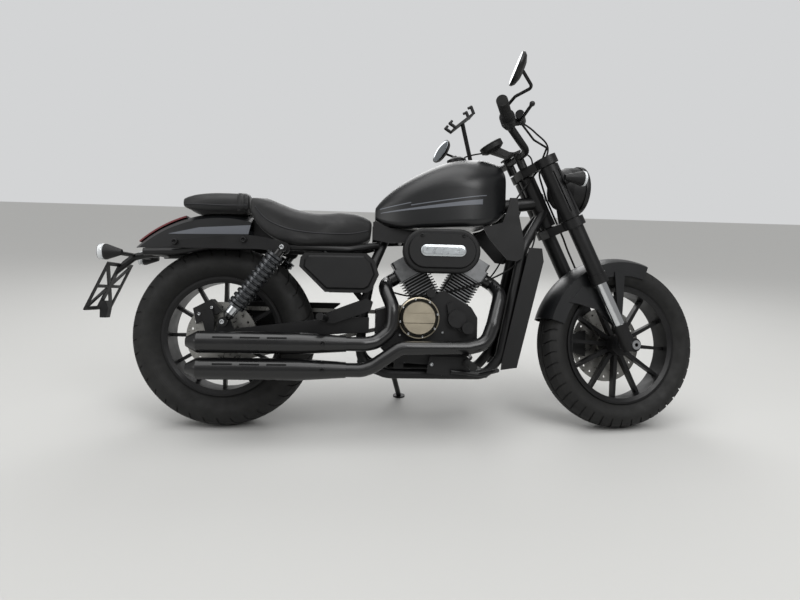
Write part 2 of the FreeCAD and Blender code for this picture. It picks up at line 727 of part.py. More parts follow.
def make_bars():
    shaped("handlebar", "fork", tube(bar_points(), S.bar_radius, 60))
    grips = []
    housings = []
    levers = []
    heads = []
    for side in (-1, 1):
        start, way = along_grip(side, S.grip_length)
        inside = float(S.bar_radius + S.fit_gap)
        grip = Part.makeCylinder(float(S.grip_radius), float(S.grip_length + 8), start, way)
        bore = Part.makeCylinder(inside, float(S.grip_length + 0.4), start, way)
        grips.append(grip.cut(bore))
        start, way = along_grip(side, S.grip_length + S.switch_length + S.fit_gap)
        housing = Part.makeCylinder(float(S.switch_radius), float(S.switch_length), start, way)
        perch_start, way = along_grip(side, S.grip_length + S.switch_length + 22 + S.fit_gap * 2)
        perch = Part.makeCylinder(float(S.switch_radius) - 4, 22, perch_start, way)
        bore = Part.makeCylinder(inside, float(S.switch_length) * 3, start - way * 40, way)
        housings.append(housing.cut(bore))
        fore = Vector(0, 0, 1).cross(way) * -side
        blade_root = perch_start + way * 11 + fore * 30 - Vector(0, 0, 12)
        blade_tip = along_grip(side, 12)[0] + fore * 74 - Vector(0, 0, 40)
        lever = rod(blade_root, blade_tip, 5).fuse(Part.makeSphere(8, blade_tip))
        arm = rod(perch_start + way * 11, blade_root, 10)
        if side < 0:
            arm = arm.fuse(rod(*master_ends(), 14))
        levers.append(perch.fuse([arm, lever]).cut(bore))
        root = perch_start + way * 11 + Vector(0, 0, float(S.switch_radius) - 2)
        end = vec(*bar_spot(side, S.bar_end_half, S.bar_end_back, S.bar_end_rise))
        turn = Rotation(Vector(0, 0, 1), float(S.mirror_toe) * side).multiply(
            Rotation(Vector(0, 1, 0), float(S.rake + S.mirror_lean))
        )
        middle = Vector(end.x + float(S.mirror_fore), float(S.mirror_half) * side, end.z + float(S.mirror_up))
        knee = Vector(middle.x + 44, middle.y - side * 30, middle.z - 62)
        back = middle + turn.multVec(Vector(float(S.mirror_depth) - 2, 0, 0))
        lifted = root + Vector(0, 0, 22)
        outer = lifted + Vector(18, side * 66, 12)
        stem = tube([tuple(root), tuple(lifted), tuple(outer), tuple(knee), tuple(back)], 5, 14)
        r, deep = S.mirror_width / 2, S.mirror_depth
        bowl = ((0, 0), (0, r), (7, r), (15, r * 0.86), (deep - 2, r * 0.5), (deep, 0))
        head = polygon([vec(x, y, 0) for x, y in bowl]).revolve(Vector(), Vector(1, 0, 0), 360)
        squash = FreeCAD.Matrix()
        squash.scale(1, 1, float(S.mirror_height / S.mirror_width))
        head = head.transformGeometry(squash)
        head.Placement = Placement(middle, turn)
        heads.append(stem.fuse(head))
    shaped("grips", "fork", Part.makeCompound(grips))
    shaped("switch_housings", "fork", Part.makeCompound(housings))
    shaped("levers", "fork", Part.makeCompound(levers))
    shaped("mirrors", "fork", Part.makeCompound(heads))
    top = S.upper_clamp_at + S.clamp_height
    risers = Piece("risers", "fork")
    for side in (1, -1):
        height = S.bar_clamp_rise + S.riser_cap
        risers.pad("XY", [ring(S.bar_clamp_ahead, side * 42, 15)], height, offset=top, both=False)
    shell = S.bar_radius + S.fit_gap
    risers.pocket("XZ", [ring(S.bar_clamp_ahead, bar_along(), shell)], 200)


def level(at, extra=0):
    """Placement in the fork's frame of a piece drawn level, X forward."""
    return Placement(at, Rotation(Vector(0, 1, 0), float(S.rake) + extra))


def make_front_lamps():
    lamp_x = S.wheelbase - S.lamp_back
    at = vec(fork_ahead(lamp_x, S.lamp_z), 0, fork_along(lamp_x, S.lamp_z))
    lamp = Piece("headlamp", "fork", level(at))
    half = S.lamp_depth / 2
    r = S.lamp_radius
    bucket = outline(
        (-half, 0), (-half, r * 0.34), (-half * 0.86, r * 0.62), (-half * 0.56, r * 0.81),
        (-half * 0.16, r * 0.93), (half - 22, r - 3), (half - 22, r), (half - 6, r), (half - 6, r - 8),
        (half - 2, r * 0.7), (half, r * 0.36), (half, 0),
    )
    lamp.turn("XY", [bucket], axis="H_Axis")
    face = S.fork_ahead + 16 + S.fit_gap
    def from_lamp(ahead, along):
        spot = level(at).inverse().multVec(vec(ahead, 0, along))
        return (spot.x, spot.z)
    low, high = S.lower_clamp_at + 2, S.lower_clamp_at + S.clamp_height - 2
    bracket = outline(
        from_lamp(face, low), from_lamp(face + 10, low), (4, -float(S.lamp_radius) * 0.94),
        (-26, -float(S.lamp_radius) * 0.82), from_lamp(face, high),
    )
    lamp.pad("XZ", [bracket], 44)
    meter_at = vec(S.bar_clamp_ahead - 56, 0, bar_along() + 74)
    tilt = Placement(meter_at, Rotation(Vector(0, 1, 0), -float(S.meter_tilt)))
    meter = Piece("meter", "fork", tilt)
    face = S.meter_depth / 2
    meter.turn("XZ", [outline((0, -face), (28, -face), (S.meter_radius, 2 - face / 2), (S.meter_radius, face), (0, face))])
    def from_meter(ahead, along):
        spot = tilt.inverse().multVec(vec(ahead, 0, along))
        return (spot.x, spot.z)
    seat = bar_along() + S.riser_cap + S.fit_gap
    ahead = S.bar_clamp_ahead
    strip = outline(
        from_meter(ahead + 12, seat), from_meter(ahead + 12, seat + 6), from_meter(ahead - 20, seat + 6),
        from_meter(ahead - 20, seat),
    )
    meter.pad("XZ", [strip], 110)
    arm = outline(
        from_meter(ahead + 8, seat + 1), from_meter(ahead + 6, seat + 6), (20, 2 - float(face)), (-16, 2 - float(face)),
        from_meter(ahead - 18, seat + 1),
    )
    meter.pad("XZ", [arm], 26)
    shapes = []
    signal_x = S.wheelbase - S.front_signal_back
    for side in (-1, 1):
        middle = vec(
            fork_ahead(signal_x, S.front_signal_z), S.front_signal_half * side,
            fork_along(signal_x, S.front_signal_z)
        )
        ahead = level(middle).Rotation.multVec(Vector(1, 0, 0))
        body = Part.makeCone(9, float(S.signal_radius), float(S.signal_length) - 12, middle - ahead * 37, ahead)
        lens = Part.makeCylinder(float(S.signal_radius), 12, middle + ahead * 25, ahead)
        foot = Vector(float(S.fork_ahead), float(S.fork_half) * side, middle.z)
        inner = foot + (middle - foot).normalize() * float(S.fork_cover_radius + S.fit_gap)
        shapes.append(body.fuse([lens, rod(inner, middle, 7)]))
    shaped("front_signals", "fork", Part.makeCompound(shapes))


def fender_shell(inner, wall, half, skirt, start, end):
    """Fender section turned about the wheel: crowned top with side skirts."""
    inner, wall, half, skirt = float(inner), float(wall), float(half), float(skirt)
    drop = half * 0.3
    outer = inner + wall
    edges = [
        Part.LineSegment(Vector(inner - skirt, -half, 0), Vector(inner - drop, -half, 0)),
        Part.Arc(Vector(inner - drop, -half, 0), Vector(inner, 0, 0), Vector(inner - drop, half, 0)),
        Part.LineSegment(Vector(inner - drop, half, 0), Vector(inner - skirt, half, 0)),
        Part.LineSegment(Vector(inner - skirt, half, 0), Vector(inner - skirt, half + wall, 0)),
        Part.LineSegment(Vector(inner - skirt, half + wall, 0), Vector(outer - drop, half + wall, 0)),
        Part.Arc(
            Vector(outer - drop, half + wall, 0), Vector(outer, 0, 0), Vector(outer - drop, -half - wall, 0)
        ),
        Part.LineSegment(Vector(outer - drop, -half - wall, 0), Vector(inner - skirt, -half - wall, 0)),
        Part.LineSegment(Vector(inner - skirt, -half - wall, 0), Vector(inner - skirt, -half, 0)),
    ]
    face = Part.Face(Part.Wire([edge.toShape() for edge in edges]))
    solid = face.revolve(Vector(0, 0, 0), Vector(0, 1, 0), -(float(end) - float(start)))
    solid.rotate(Vector(0, 0, 0), Vector(0, 1, 0), -float(start))
    return solid


def polar(angle, reach, y):
    """Spot at an angle over the horizon ahead and a distance from the axle."""
    return vec(reach * math.cos(math.radians(angle)), y, reach * math.sin(math.radians(angle)))


def polygon(corners):
    return Part.Face(Part.makePolygon(corners + corners[:1]))


def make_front_fender():
    inner = S.front_radius + S.front_fender_gap
    shell = fender_shell(
        inner, S.fender_wall, S.front_fender_half - S.fender_wall, S.front_fender_skirt,
        S.front_fender_start, S.front_fender_end
    )
    shell.rotate(Vector(0, 0, 0), Vector(0, 1, 0), float(S.rake))
    bosses = []
    ahead = S.fork_ahead - AXLE_AHEAD
    along = S.fork_tube_foot + S.seal_height / 2 - AXLE_ALONG
    for side in (1, -1):
        start = vec(ahead, side * (S.front_fender_half - S.fender_wall), along)
        end = vec(ahead, side * (S.fork_half - S.seal_radius - S.fit_gap), along)
        bosses.append(rod(start, end, 10))
    # Stays to the fork legs: (degrees over the horizon ahead, radius) round each outline
    stays = (
        ((130, 266), (146, 262), (143, 236), (133, 168), (127, 70), (108, 64), (112, 150), (120, 225)),
        ((90, 262), (99, 262), (112, 78), (102, 80)),
    )
    leg_face = S.fork_half - S.clamp_leg_radius - S.fit_gap
    for side in (1, -1):
        inner = side * (S.front_fender_half - S.fender_wall + 1.5)
        bosses.append(rod(vec(-5, inner, 76), vec(-5, side * leg_face, 76), 7))
        for corners in stays:
            flat = polygon([polar(angle - float(S.rake), reach, inner) for angle, reach in corners])
            bosses.append(flat.extrude(vec(0, side * S.stay_wall, 0)))
    shaped("front_fender", "fork", shell.fuse(bosses), FRONT)


def make_caliper(name, group, centre, tilt, disc_radius, side):
    """Caliper round a disc whose face is side left of the middle, with two cylinder caps outside."""
    turn = Rotation(Vector(0, 1, 0), float(tilt))
    caliper = Piece(name, group, Placement(centre, turn))
    outward = 1 if float(side) > 0 else -1
    reach = disc_radius - S.disc_band / 2
    length = S.caliper_length / 2
    low, high = reach - S.caliper_height / 2, reach + S.caliper_height / 2
    body = outline((-low, -length), (-high, -length * 0.7), (-high, length * 0.7), (-low, length))
    caliper.pad("XZ", [body], S.caliper_half * 2, offset=-side - 6 * outward)
    slot = box_outline(-disc_radius - 4, -length - 1, 1 - low, length + 1)
    caliper.pocket("XZ", [slot], S.disc_wall + 5, offset=-side)
    return caliper, turn


def make_calipers():
    make_caliper(
        "front_caliper", "fork", FRONT.Base, S.caliper_tilt, S.front_disc_radius, S.front_disc_side
    )
    caliper, turn = make_caliper(
        "rear_caliper", "chassis", REAR.Base, S.rear_caliper_tilt, S.rear_disc_radius, -S.rear_disc_side
    )
    # Bracket from the caliper to the swingarm's right leg
    corners = ((-40, 2), (-18, 2), (-16, 62), (-24, 96), (-60, 84), (-52, 46))
    bracket = []
    for x, z in corners:
        spot = turn.inverted().multVec(Vector(x, 0, z))
        bracket.append((spot.x, spot.z))
    outer = S.arm_side - S.arm_wall / 2 - S.fit_gap
    inner = S.rear_disc_side + 6 + S.caliper_half
    caliper.pad("XZ", [outline(*bracket)], outer - inner + 1, offset=(outer + inner - 1) / 2)


def head_spot(along):
    """Upright spot on the steering axis."""
    return (S.wheelbase + S.trail - along * sine(S.rake), 0, along * cosine(S.rake))


def on_side(side, points):
    """Places points (x, z, y out from the middle) on one side of the motorcycle."""
    return [(x, y * side, z) for x, z, y in points]


def fender_radius():
    """Rear fender's crown from the rear axle."""
    return S.rear_radius + S.rear_fender_gap


def rail_half():
    """Seat rails from the middle: they lie against the rear fender's sides."""
    return S.rear_fender_half + S.tube_light + S.fit_gap


def strut_half():
    """Inner faces of the fender struts from the middle."""
    return rail_half() + S.tube_light + S.fit_gap


def spine_points():
    """Route of the frame's backbone under the tank, from the head tube to the seat."""
    neck_x, neck_y, neck_z = head_spot((S.lower_clamp_at + S.upper_clamp_at + S.clamp_height) / 2)
    return [(neck_x, 0, neck_z), (870, 0, 776), (700, 0, 716), (540, 0, 668)]


def make_frame():
    head_low = S.lower_clamp_at + S.clamp_height + S.head_gap
    head_high = S.upper_clamp_at - S.head_gap
    low, high = vec(*head_spot(head_low)), vec(*head_spot(head_high))
    pieces = [rod(low, high, S.head_radius)]
    pieces.append(tube(spine_points(), S.spine_radius, 120))
    for side in (1, -1):
        cradle = on_side(side, (
            (low.x - 24, low.z + 50, 14),
            (1030, 640, S.cradle_half * 0.8),
            (950, S.cradle_floor + 60, S.cradle_half),
            (900, S.cradle_floor, S.cradle_half),
            (560, S.cradle_floor, S.cradle_half),
            (S.pivot_x, S.cradle_floor + 30, S.cradle_half - 24),
            (S.pivot_x, S.pivot_z, S.cradle_half - 28),
            (S.pivot_x + 36, 560, S.cradle_half - 28),
            (552, 668, 14),
        ))
        pieces.append(tube(cradle, S.tube_main, 70))
        rail = on_side(side, (
            (520, 634, 50), (420, 612, rail_half()), (S.shock_top_x, 618, rail_half()),
            (-40, 614, rail_half()), (-140, 594, rail_half()), (S.tail_cross_x - 14, S.tail_cross_z, rail_half()),
        ))
        pieces.append(tube(rail, S.tube_light, 60))
        brace = on_side(side, ((S.pivot_x + 6, 440, S.cradle_half - 28), (340, 606, rail_half())))
        pieces.append(rod(vec(*brace[0]), vec(*brace[1]), S.tube_light - 2))
    for x, z, half in ((560, S.cradle_floor, S.cradle_half), (900, S.cradle_floor, S.cradle_half),
                       (S.pivot_x, S.cradle_floor + 36, 64), (S.pivot_x, S.pivot_z, S.arm_side - S.arm_wall),
                       (S.pivot_x + 36, 570, 60), (516, 634, 50)):
        pieces.append(rod(vec(x, -half, z), vec(x, half, z), S.tube_light))
    bore = rod(low - (high - low), high + (high - low), S.stem_radius + S.fit_gap)
    pieces += stand_ears()
    frame = pieces[0].fuse(pieces[1:]).cut(bore)
    shaped("frame", "chassis", frame)


def make_swingarm():
    arm = Piece("swingarm", "chassis")
    half = S.arm_height / 2
    rise = S.pivot_z - S.rear_radius
    leg = outline(
        (-40, S.rear_radius - half * 0.8), (S.pivot_x - 60, S.pivot_z - half - rise * 0.1),
        (S.pivot_x + 26, S.pivot_z - half), (S.pivot_x + 26, S.pivot_z + half),
        (S.pivot_x - 60, S.pivot_z + half), (-40, S.rear_radius + half * 0.8),
    )
    for side in (1, -1):
        arm.pad("XZ", [leg], S.arm_wall, offset=S.arm_side * side)
    bridge = box_outline(S.pivot_x - 104, S.pivot_z - half * 0.8, S.pivot_x - 62, S.pivot_z + half * 0.8)
    arm.pad("XZ", [bridge], S.arm_side * 2)
    x, z = S.shock_foot_x, S.shock_foot_z
    lug = outline(
        (x - 30, S.rear_radius + S.axle_head + 2), (x + 40, S.rear_radius + S.axle_head + 2), (x + 15, z + 8),
        (x, z + 16, "via"), (x - 15, z + 8),
    )
    for side in (1, -1):
        arm.pad("XZ", [lug], S.lug_wall, offset=(S.shock_side - 12 - S.fit_gap - S.lug_wall / 2) * side)
    guard_z = S.rear_radius + S.sprocket_radius + S.tooth_height + 12
    web = outline(
        (20, S.rear_radius + 14), (300, S.pivot_z - 4), (392, guard_z + 6), (388, guard_z + 10), (-20, guard_z + 10),
        (-44, guard_z - 10),
    )
    arm.pad("XZ", [web], 5, offset=-S.arm_side + 6)
    lip = outline(
        (-44, guard_z - 10), (-20, guard_z + 6), (392, guard_z + 6), (388, guard_z + 10), (-22, guard_z + 10),
        (-48, guard_z - 8),
    )
    arm.pad("XZ", [lip], 34, offset=-S.sprocket_side - 5)
    arm.pocket("XZ", [ring(x, z, 6 + S.fit_gap)], S.arm_side * 4)
    arm.pocket("XZ", [ring(0, S.rear_radius, S.axle_radius + S.fit_gap)], S.arm_side * 4)
    axle = Piece("rear_axle", "chassis", REAR)
    reach = S.arm_side + S.arm_wall / 2 + 5
    axle.pad("XZ", [ring(0, 0, S.axle_radius)], reach * 2)
    for side in (1, -1):
        axle.pad("XZ", [ring(0, 0, S.axle_head)], 8, offset=reach * side)
    spacer = S.arm_side - S.arm_wall / 2 - S.fit_gap - S.hub_half - 1
    for side in (1, -1):
        middle = (S.hub_half + 1 + spacer / 2) * side
        axle.pad("XZ", [ring(0, 0, S.axle_radius + 5)], spacer, offset=middle)
    axle.pocket("XZ", [ring(0, 0, S.axle_bore)], reach * 4)


def spring_profile(length):
    """Half outline (radius, height) of a shock: damper, lower collar, spring turns, upper collar, rod."""
    collar = S.spring_radius + 5
    first, last = 70.0, length - 40
    points = [(0, 12), (9, 12), (S.damper_radius, 24), (S.damper_radius, 62), (collar, 62), (collar, first)]
    pitch = (last - first) / float(S.spring_coils)
    for turn in range(int(float(S.spring_coils))):
        base = first + pitch * turn
        for reach, share in ((-0.6, 0.06), (0.8, 0.24), (1, 0.5), (0.8, 0.76), (-0.6, 0.94)):
            points.append((S.spring_radius + S.spring_wire * reach, base + pitch * share))
    return points + [(collar, last), (collar, last + 8), (14, last + 10), (14, length - 12), (0, length - 12)]


def make_shocks():
    shocks = []
    for side in (1, -1):
        top = vec(S.shock_top_x, S.shock_side * side, S.shock_top_z)
        foot = vec(S.shock_foot_x, S.shock_side * side, S.shock_foot_z)
        way = top - foot
        half = [vec(r, 0, h) for r, h in spring_profile(way.Length)]
        body = Part.Face(Part.makePolygon(half + half[:1])).revolve(Vector(), Vector(0, 0, 1), 360)
        body.Placement = Placement(foot, Rotation(Vector(0, 0, 1), way))
        eyes = []
        seats = ((foot, S.shock_side - 12 - S.lug_wall), (top, strut_half() + S.strut_wall + S.fit_gap))
        for spot, inner in seats:
            eye = Part.makeCylinder(15, 24, spot - Vector(0, 12, 0), Vector(0, 1, 0))
            bolt = rod(vec(spot.x, inner * side, spot.z), spot + Vector(0, 12 * side, 0), 6)
            head = Part.makeCylinder(10, 6, spot + Vector(0, 12 * side, 0), Vector(0, side, 0))
            eyes += [eye, bolt, head]
        shocks.append(body.fuse(eyes))
    shaped("shocks", "chassis", Part.makeCompound(shocks))


def vee_place(lean):
    """Placement at the crankshaft with Z along a cylinder leaning by lean degrees forward."""
    return Placement(vec(S.engine_x, 0, S.engine_z), Rotation(Vector(0, 1, 0), lean))


def make_cylinder(name, lean):
    barrel = Piece(name, "chassis", vee_place(lean))
    core = S.barrel_half
    finned = core + S.fin_reach
    barrel.pad("XY", [box_outline(-core, -core, core, core)], S.cylinder_length, S.cylinder_start, both=False)
    gap = S.cylinder_length / S.fin_count
    fin = barrel.pad(
        "XY", [box_outline(-finned, -finned, finned, finned)], S.fin_wall, S.cylinder_start + gap / 2, both=False
    )
    barrel.row([fin], "Z_Axis", gap * (S.fin_count - 1), S.fin_count)
    top = S.cylinder_start + S.cylinder_length
    head = S.head_half
    barrel.pad("XY", [box_outline(-head, -head, head, head)], S.head_length * 0.62, top, both=False)
    cover = head - 8
    barrel.pad(
        "XY", [box_outline(-cover, -cover, cover, cover)], S.head_length * 0.38,
        top + S.head_length * 0.62, both=False
    )
    barrel.round(10, lambda edge: along(edge, 2))


def make_engine():
    case = Piece("engine_case", "chassis")
    left, right = S.engine_x - 225, S.engine_x + 118
    floor = S.engine_z - 140
    half_vee = S.vee_angle / 2
    deck = S.cylinder_start
    reach = deck * sine(half_vee) / cosine(half_vee)
    deck_x = deck * sine(half_vee) + reach * cosine(half_vee)
    deck_z = deck * cosine(half_vee) - reach * sine(half_vee)
    body = outline(
        (left, floor + 70), (left + 60, floor + 8), (left + 150, floor), (right - 60, floor),
        (right, floor + 60), (right, S.engine_z + 20), (S.engine_x + deck_x, S.engine_z + deck_z),
        (S.engine_x, S.engine_z + deck / cosine(half_vee)), (S.engine_x - deck_x, S.engine_z + deck_z),
        (left + 60, S.engine_z + deck_z), (left, S.engine_z + 40),
    )
    case.pad("XZ", [body], S.case_half * 2)
    well = S.chain_radius + 12
    case.pocket("XZ", [ring(S.drive_x, S.drive_z, well)], S.case_half, offset=-S.drive_well, both=False, back=False)
    slot = box_outline(left - 20, S.drive_z - well, S.drive_x, S.drive_z + well)
    case.pocket("XZ", [slot], S.case_half, offset=-S.drive_well, both=False, back=False)
    case.round(16, lambda edge: along(edge, 1) and abs(edge.Length - float(S.case_half) * 2) < 0.01)
    shaft = S.sprocket_side + S.sprocket_wall / 2
    case.pad("XZ", [ring(S.drive_x, S.drive_z, 14)], shaft - S.drive_well, offset=-S.drive_well, both=False, back=False)
    small = S.chain_radius - S.chain_height / 2 - 1
    case.pad("XZ", [ring(S.drive_x, S.drive_z, small)], S.sprocket_wall, offset=-S.sprocket_side)
    rail_top = S.cradle_floor + S.tube_main + S.fit_gap
    for x in (600, 822):
        for side in (1, -1):
            foot = box_outline(x - 16, rail_top, x + 16, floor + 20)
            case.pad("XZ", [foot], 24, offset=(S.cradle_half * side))
    pump = outline(
        (S.pump_x - 34, S.pump_z + 48), (S.pump_x - 14, S.pump_z + 56), (S.pump_x + 6, S.pump_z + 26),
        (S.pump_x + 58, S.pump_z - 22), (S.pump_x + 50, S.pump_z - 50), (S.pump_x + 20, S.pump_z - 48),
        (S.pump_x - 24, S.pump_z - 8),
    )
    case.pad("XZ", [pump], 14, offset=S.case_half - 1, both=False)
    # Round covers on the right: x, z, radius, how far they stand out
    for x, z, radius, depth in (
        (S.pump_x, S.pump_z, 30, 24), (S.pump_x + 36, S.pump_z - 30, 20, 34),
        (S.pump_x - 88, S.pump_z + 84, 15, 12), (S.pump_x - 128, S.pump_z - 92, 13, 8),
    ):
        case.pad("XZ", [ring(x, z, radius)], depth, offset=S.case_half - 1, both=False)
    make_cylinder("rear_cylinder", -float(half_vee))
    make_cylinder("front_cylinder", float(half_vee))
    clutch = Piece("clutch_cover", "chassis", Placement(vec(S.clutch_x, -S.case_half, S.clutch_z), Rotation()))
    profile = outline(
        (0, -0.3), (S.cover_rim, -0.3), (S.cover_rim, -24), (S.cover_rim - 8, -30),
        (S.clutch_radius, -30), (S.clutch_radius - 4, -38), (0, -38)
    )
    clutch.turn("XY", [profile])
    # Lines across the disc: distance from its middle
    for z in (-17, 16):
        reach = (float(S.clutch_radius - 5) ** 2 - z * z) ** 0.5
        clutch.pocket("XZ", [box_outline(-reach, z - 1.2, reach, z + 1.2)], 4, offset=36, both=False, back=True)
    generator = Piece(
        "generator_cover", "chassis", Placement(vec(S.engine_x, S.case_half, S.engine_z), Rotation())
    )
    profile = outline((0, 0.3), (78, 0.3), (78, 18), (66, 34), (0, 38))
    generator.turn("XY", [profile])
    cleaner = Piece("air_cleaner", "chassis")
    half = S.cleaner_height / 2
    reach = S.cleaner_length / 2 - half
    x, z = S.cleaner_x, S.cleaner_z
    edge = S.cleaner_side + S.cleaner_depth - 12
    cleaner.pad("XZ", [oval(x, z, reach, half)], edge - S.cleaner_side, offset=S.cleaner_side, both=False)
    cleaner.round(9, lambda rim: all(abs(spot.Y + float(edge)) < 0.01 for spot in rim.Vertexes))
    raised = cleaner.pad("XZ", [oval(x, z, reach, half - S.cleaner_step)], 9.5, offset=edge, both=False)
    raised.TaperAngle = -25
    cleaner.pad("XZ", [oval(x + 14, z + 2, 44, 12)], 2.5, offset=edge + 9.5, both=False)
    make_throttle_body()


def oval(x, z, reach, half):
    """Outline with round ends whose centres are reach from the middle."""
    return outline(
        (x - reach, z - half), (x + reach, z - half), (x + reach + half, z, "via"), (x + reach, z + half),
        (x - reach, z + half), (x - reach - half, z, "via"),
    )


def make_throttle_body():
    """Intake between the cylinders: a barrel behind the air cleaner and a runner to each head."""
    middle = vec(S.engine_x, 0, S.intake_z)
    barrel = rod(vec(S.engine_x, -S.cleaner_side + S.fit_gap, S.intake_z), vec(S.engine_x, 46, S.intake_z), 27)
    runners = []
    for lean in (-float(S.vee_angle) / 2, float(S.vee_angle) / 2):
        place = vee_place(lean)
        spot = place.inverse().multVec(middle)
        side = -1 if lean > 0 else 1
        face = float(S.head_half + S.fit_gap) * side
        runners.append(rod(middle, place.multVec(Vector(face, 0, spot.z)), 19))
    shaped("throttle_body", "chassis", barrel.fuse(runners))


def make_exhaust():
    side = -S.silencer_side
    top_z, low_z = S.upper_silencer_z, S.lower_silencer_z
    half_vee = S.vee_angle / 2
    reach = S.cylinder_start + S.cylinder_length + S.head_length * 0.28
    face = S.head_half + S.fit_gap
    port_x = reach * sine(half_vee) + face * cosine(half_vee)
    port_z = S.engine_z + reach * cosine(half_vee) - face * sine(half_vee)
    out_x, out_z = port_x + 40 * cosine(half_vee), port_z - 40 * sine(half_vee)
    rear = [
        (S.engine_x - port_x, -24, port_z), (S.engine_x - out_x, -24, out_z), (548, -108, 486),
        (574, -158, 420), (570, -164, 350), (520, -178, top_z + 6), (S.silencer_taper + 60, side, top_z),
        (S.silencer_taper - S.socket + 1, side, top_z),
    ]
    front = [
        (S.engine_x + port_x, -24, port_z), (S.engine_x + out_x, -24, out_z), (940, -112, 470),
        (908, -158, 372), (884, -166, 308), (820, -174, 294), (600, -182, 292), (510, -187, low_z + 12),
        (S.silencer_taper + 50, side, low_z), (S.silencer_taper - S.socket + 1, side, low_z),
    ]
    pipes = [tube(rear, S.pipe_radius, 60), tube(front, S.pipe_radius, 60)]
    shaped("headers", "chassis", Part.makeCompound(pipes))
    for name, z in (("upper_silencer", top_z), ("lower_silencer", low_z)):
        can = Piece(name, "chassis", Placement(vec(0, side, z), Rotation()))
        r = S.silencer_radius
        profile = outline(
            (S.silencer_rear - 30, r * 0.45), (S.silencer_rear, r * 0.92), (S.silencer_rear + 6, r),
            (S.silencer_front, r), (S.silencer_taper, S.pipe_radius + 2.5),
            (S.silencer_taper, S.pipe_radius + S.fit_gap), (S.silencer_taper - S.socket, S.pipe_radius + S.fit_gap),
            (S.silencer_taper - S.socket, S.pipe_radius - 3), (S.silencer_rear - 30, S.pipe_radius - 10),
        )
        can.turn("XY", [profile], axis="H_Axis")
        for number in range(3):
            start = S.vent_start + S.vent_step * number
            vent = box_outline(start, r * 0.42, start + S.vent_length, r * 0.58)
            can.pocket("XZ", [vent], r, offset=r * 0.78, both=False, back=True)


def section(x, half, floor, roof, low_round, high_round):
    """Closed section across the motorcycle with round corners, for a loft along X."""
    x, half, floor, roof = float(x), float(half), float(floor), float(roof)
    low, high = float(low_round), float(high_round)
    k = math.sqrt(0.5)
    edges = []
    def line(a, b):
        edges.append(Part.LineSegment(Vector(x, *a), Vector(x, *b)).toShape())
    def arc(a, m, b):
        edges.append(Part.Arc(Vector(x, *a), Vector(x, *m), Vector(x, *b)).toShape())
    line((-half + low, floor), (half - low, floor))
    arc((half - low, floor), (half - low + low * k, floor + low - low * k), (half, floor + low))
    line((half, floor + low), (half, roof - high))
    arc((half, roof - high), (half - high + high * k, roof - high + high * k), (half - high, roof))
    line((half - high, roof), (high - half, roof))
    arc((high - half, roof), (high - half - high * k, roof - high + high * k), (-half, roof - high))
    line((-half, roof - high), (-half, floor + low))
    arc((-half, floor + low), (-half + low - low * k, floor + low - low * k), (-half + low, floor))
    return Part.Wire(edges)


def loft(rows):
    return Part.makeLoft([section(*row) for row in rows], True, False)


def make_tank_and_seats():
    w = S.tank_half
    tank_rows = (
        (512, w * 0.44, 722, 764, 10, 18),
        (560, w * 0.66, 700, 818, 16, 50),
        (660, w * 0.88, 692, 886, 20, 80),
        (790, w, 698, 938, 24, 104),
        (890, w * 0.88, 708, 948, 24, 115),
        (948, w * 0.56, 738, 931, 22, 73),
        (968, w * 0.38, 770, 908, 20, 49),
    )
    tank = loft(tank_rows)
    spine = spine_points()
    tail_x, tail_y, tail_z = spine[-1]
    tunnel = tube(spine[:-1] + [(tail_x - 80, 0, tail_z - 24)], S.spine_radius + S.tunnel_gap, 120)
    shaped("fuel_tank", "chassis", tank.cut(tunnel))
    cap = Piece("filler_cap", "chassis", Placement(vec(800, 0, 937.9), Rotation(Vector(0, 1, 0), -7)))
    cap.turn("XZ", [outline((0, 4), (34, 4), (34, 14), (26, 20), (0, 22))])
    w = S.seat_half
    # Heights of these rows are over the rear fender's crown
    crown = S.rear_radius + fender_radius()
    rider_rows = (
        (96, w * 0.86, 3.5, 50, 14, 18),
        (170, w * 0.96, -83.5, 31.5, 14, 30),
        (260, w, -105.5, 1.5, 14, 34),
        (350, w * 0.92, -105.5, -4.5, 14, 34),
        (430, w * 0.72, -102.5, 3.5, 14, 32),
        (500, w * 0.5, -74.5, -14.5, 12, 22),
    )
    pillion_rows = (
        (-138, w * 0.56, 10.5, 38, 8, 12),
        (-96, w * 0.72, 1.5, 49, 12, 22),
        (0, w * 0.8, 0.5, 54, 12, 26),
        (92, w * 0.82, 0.5, 57, 12, 24),
    )
    for name, rows in (("rider_seat", rider_rows), ("passenger_seat", pillion_rows)):
        lifted = [(x, half, floor + crown, roof + crown, *rounds) for x, half, floor, roof, *rounds in rows]
        shaped(name, "chassis", loft(lifted))


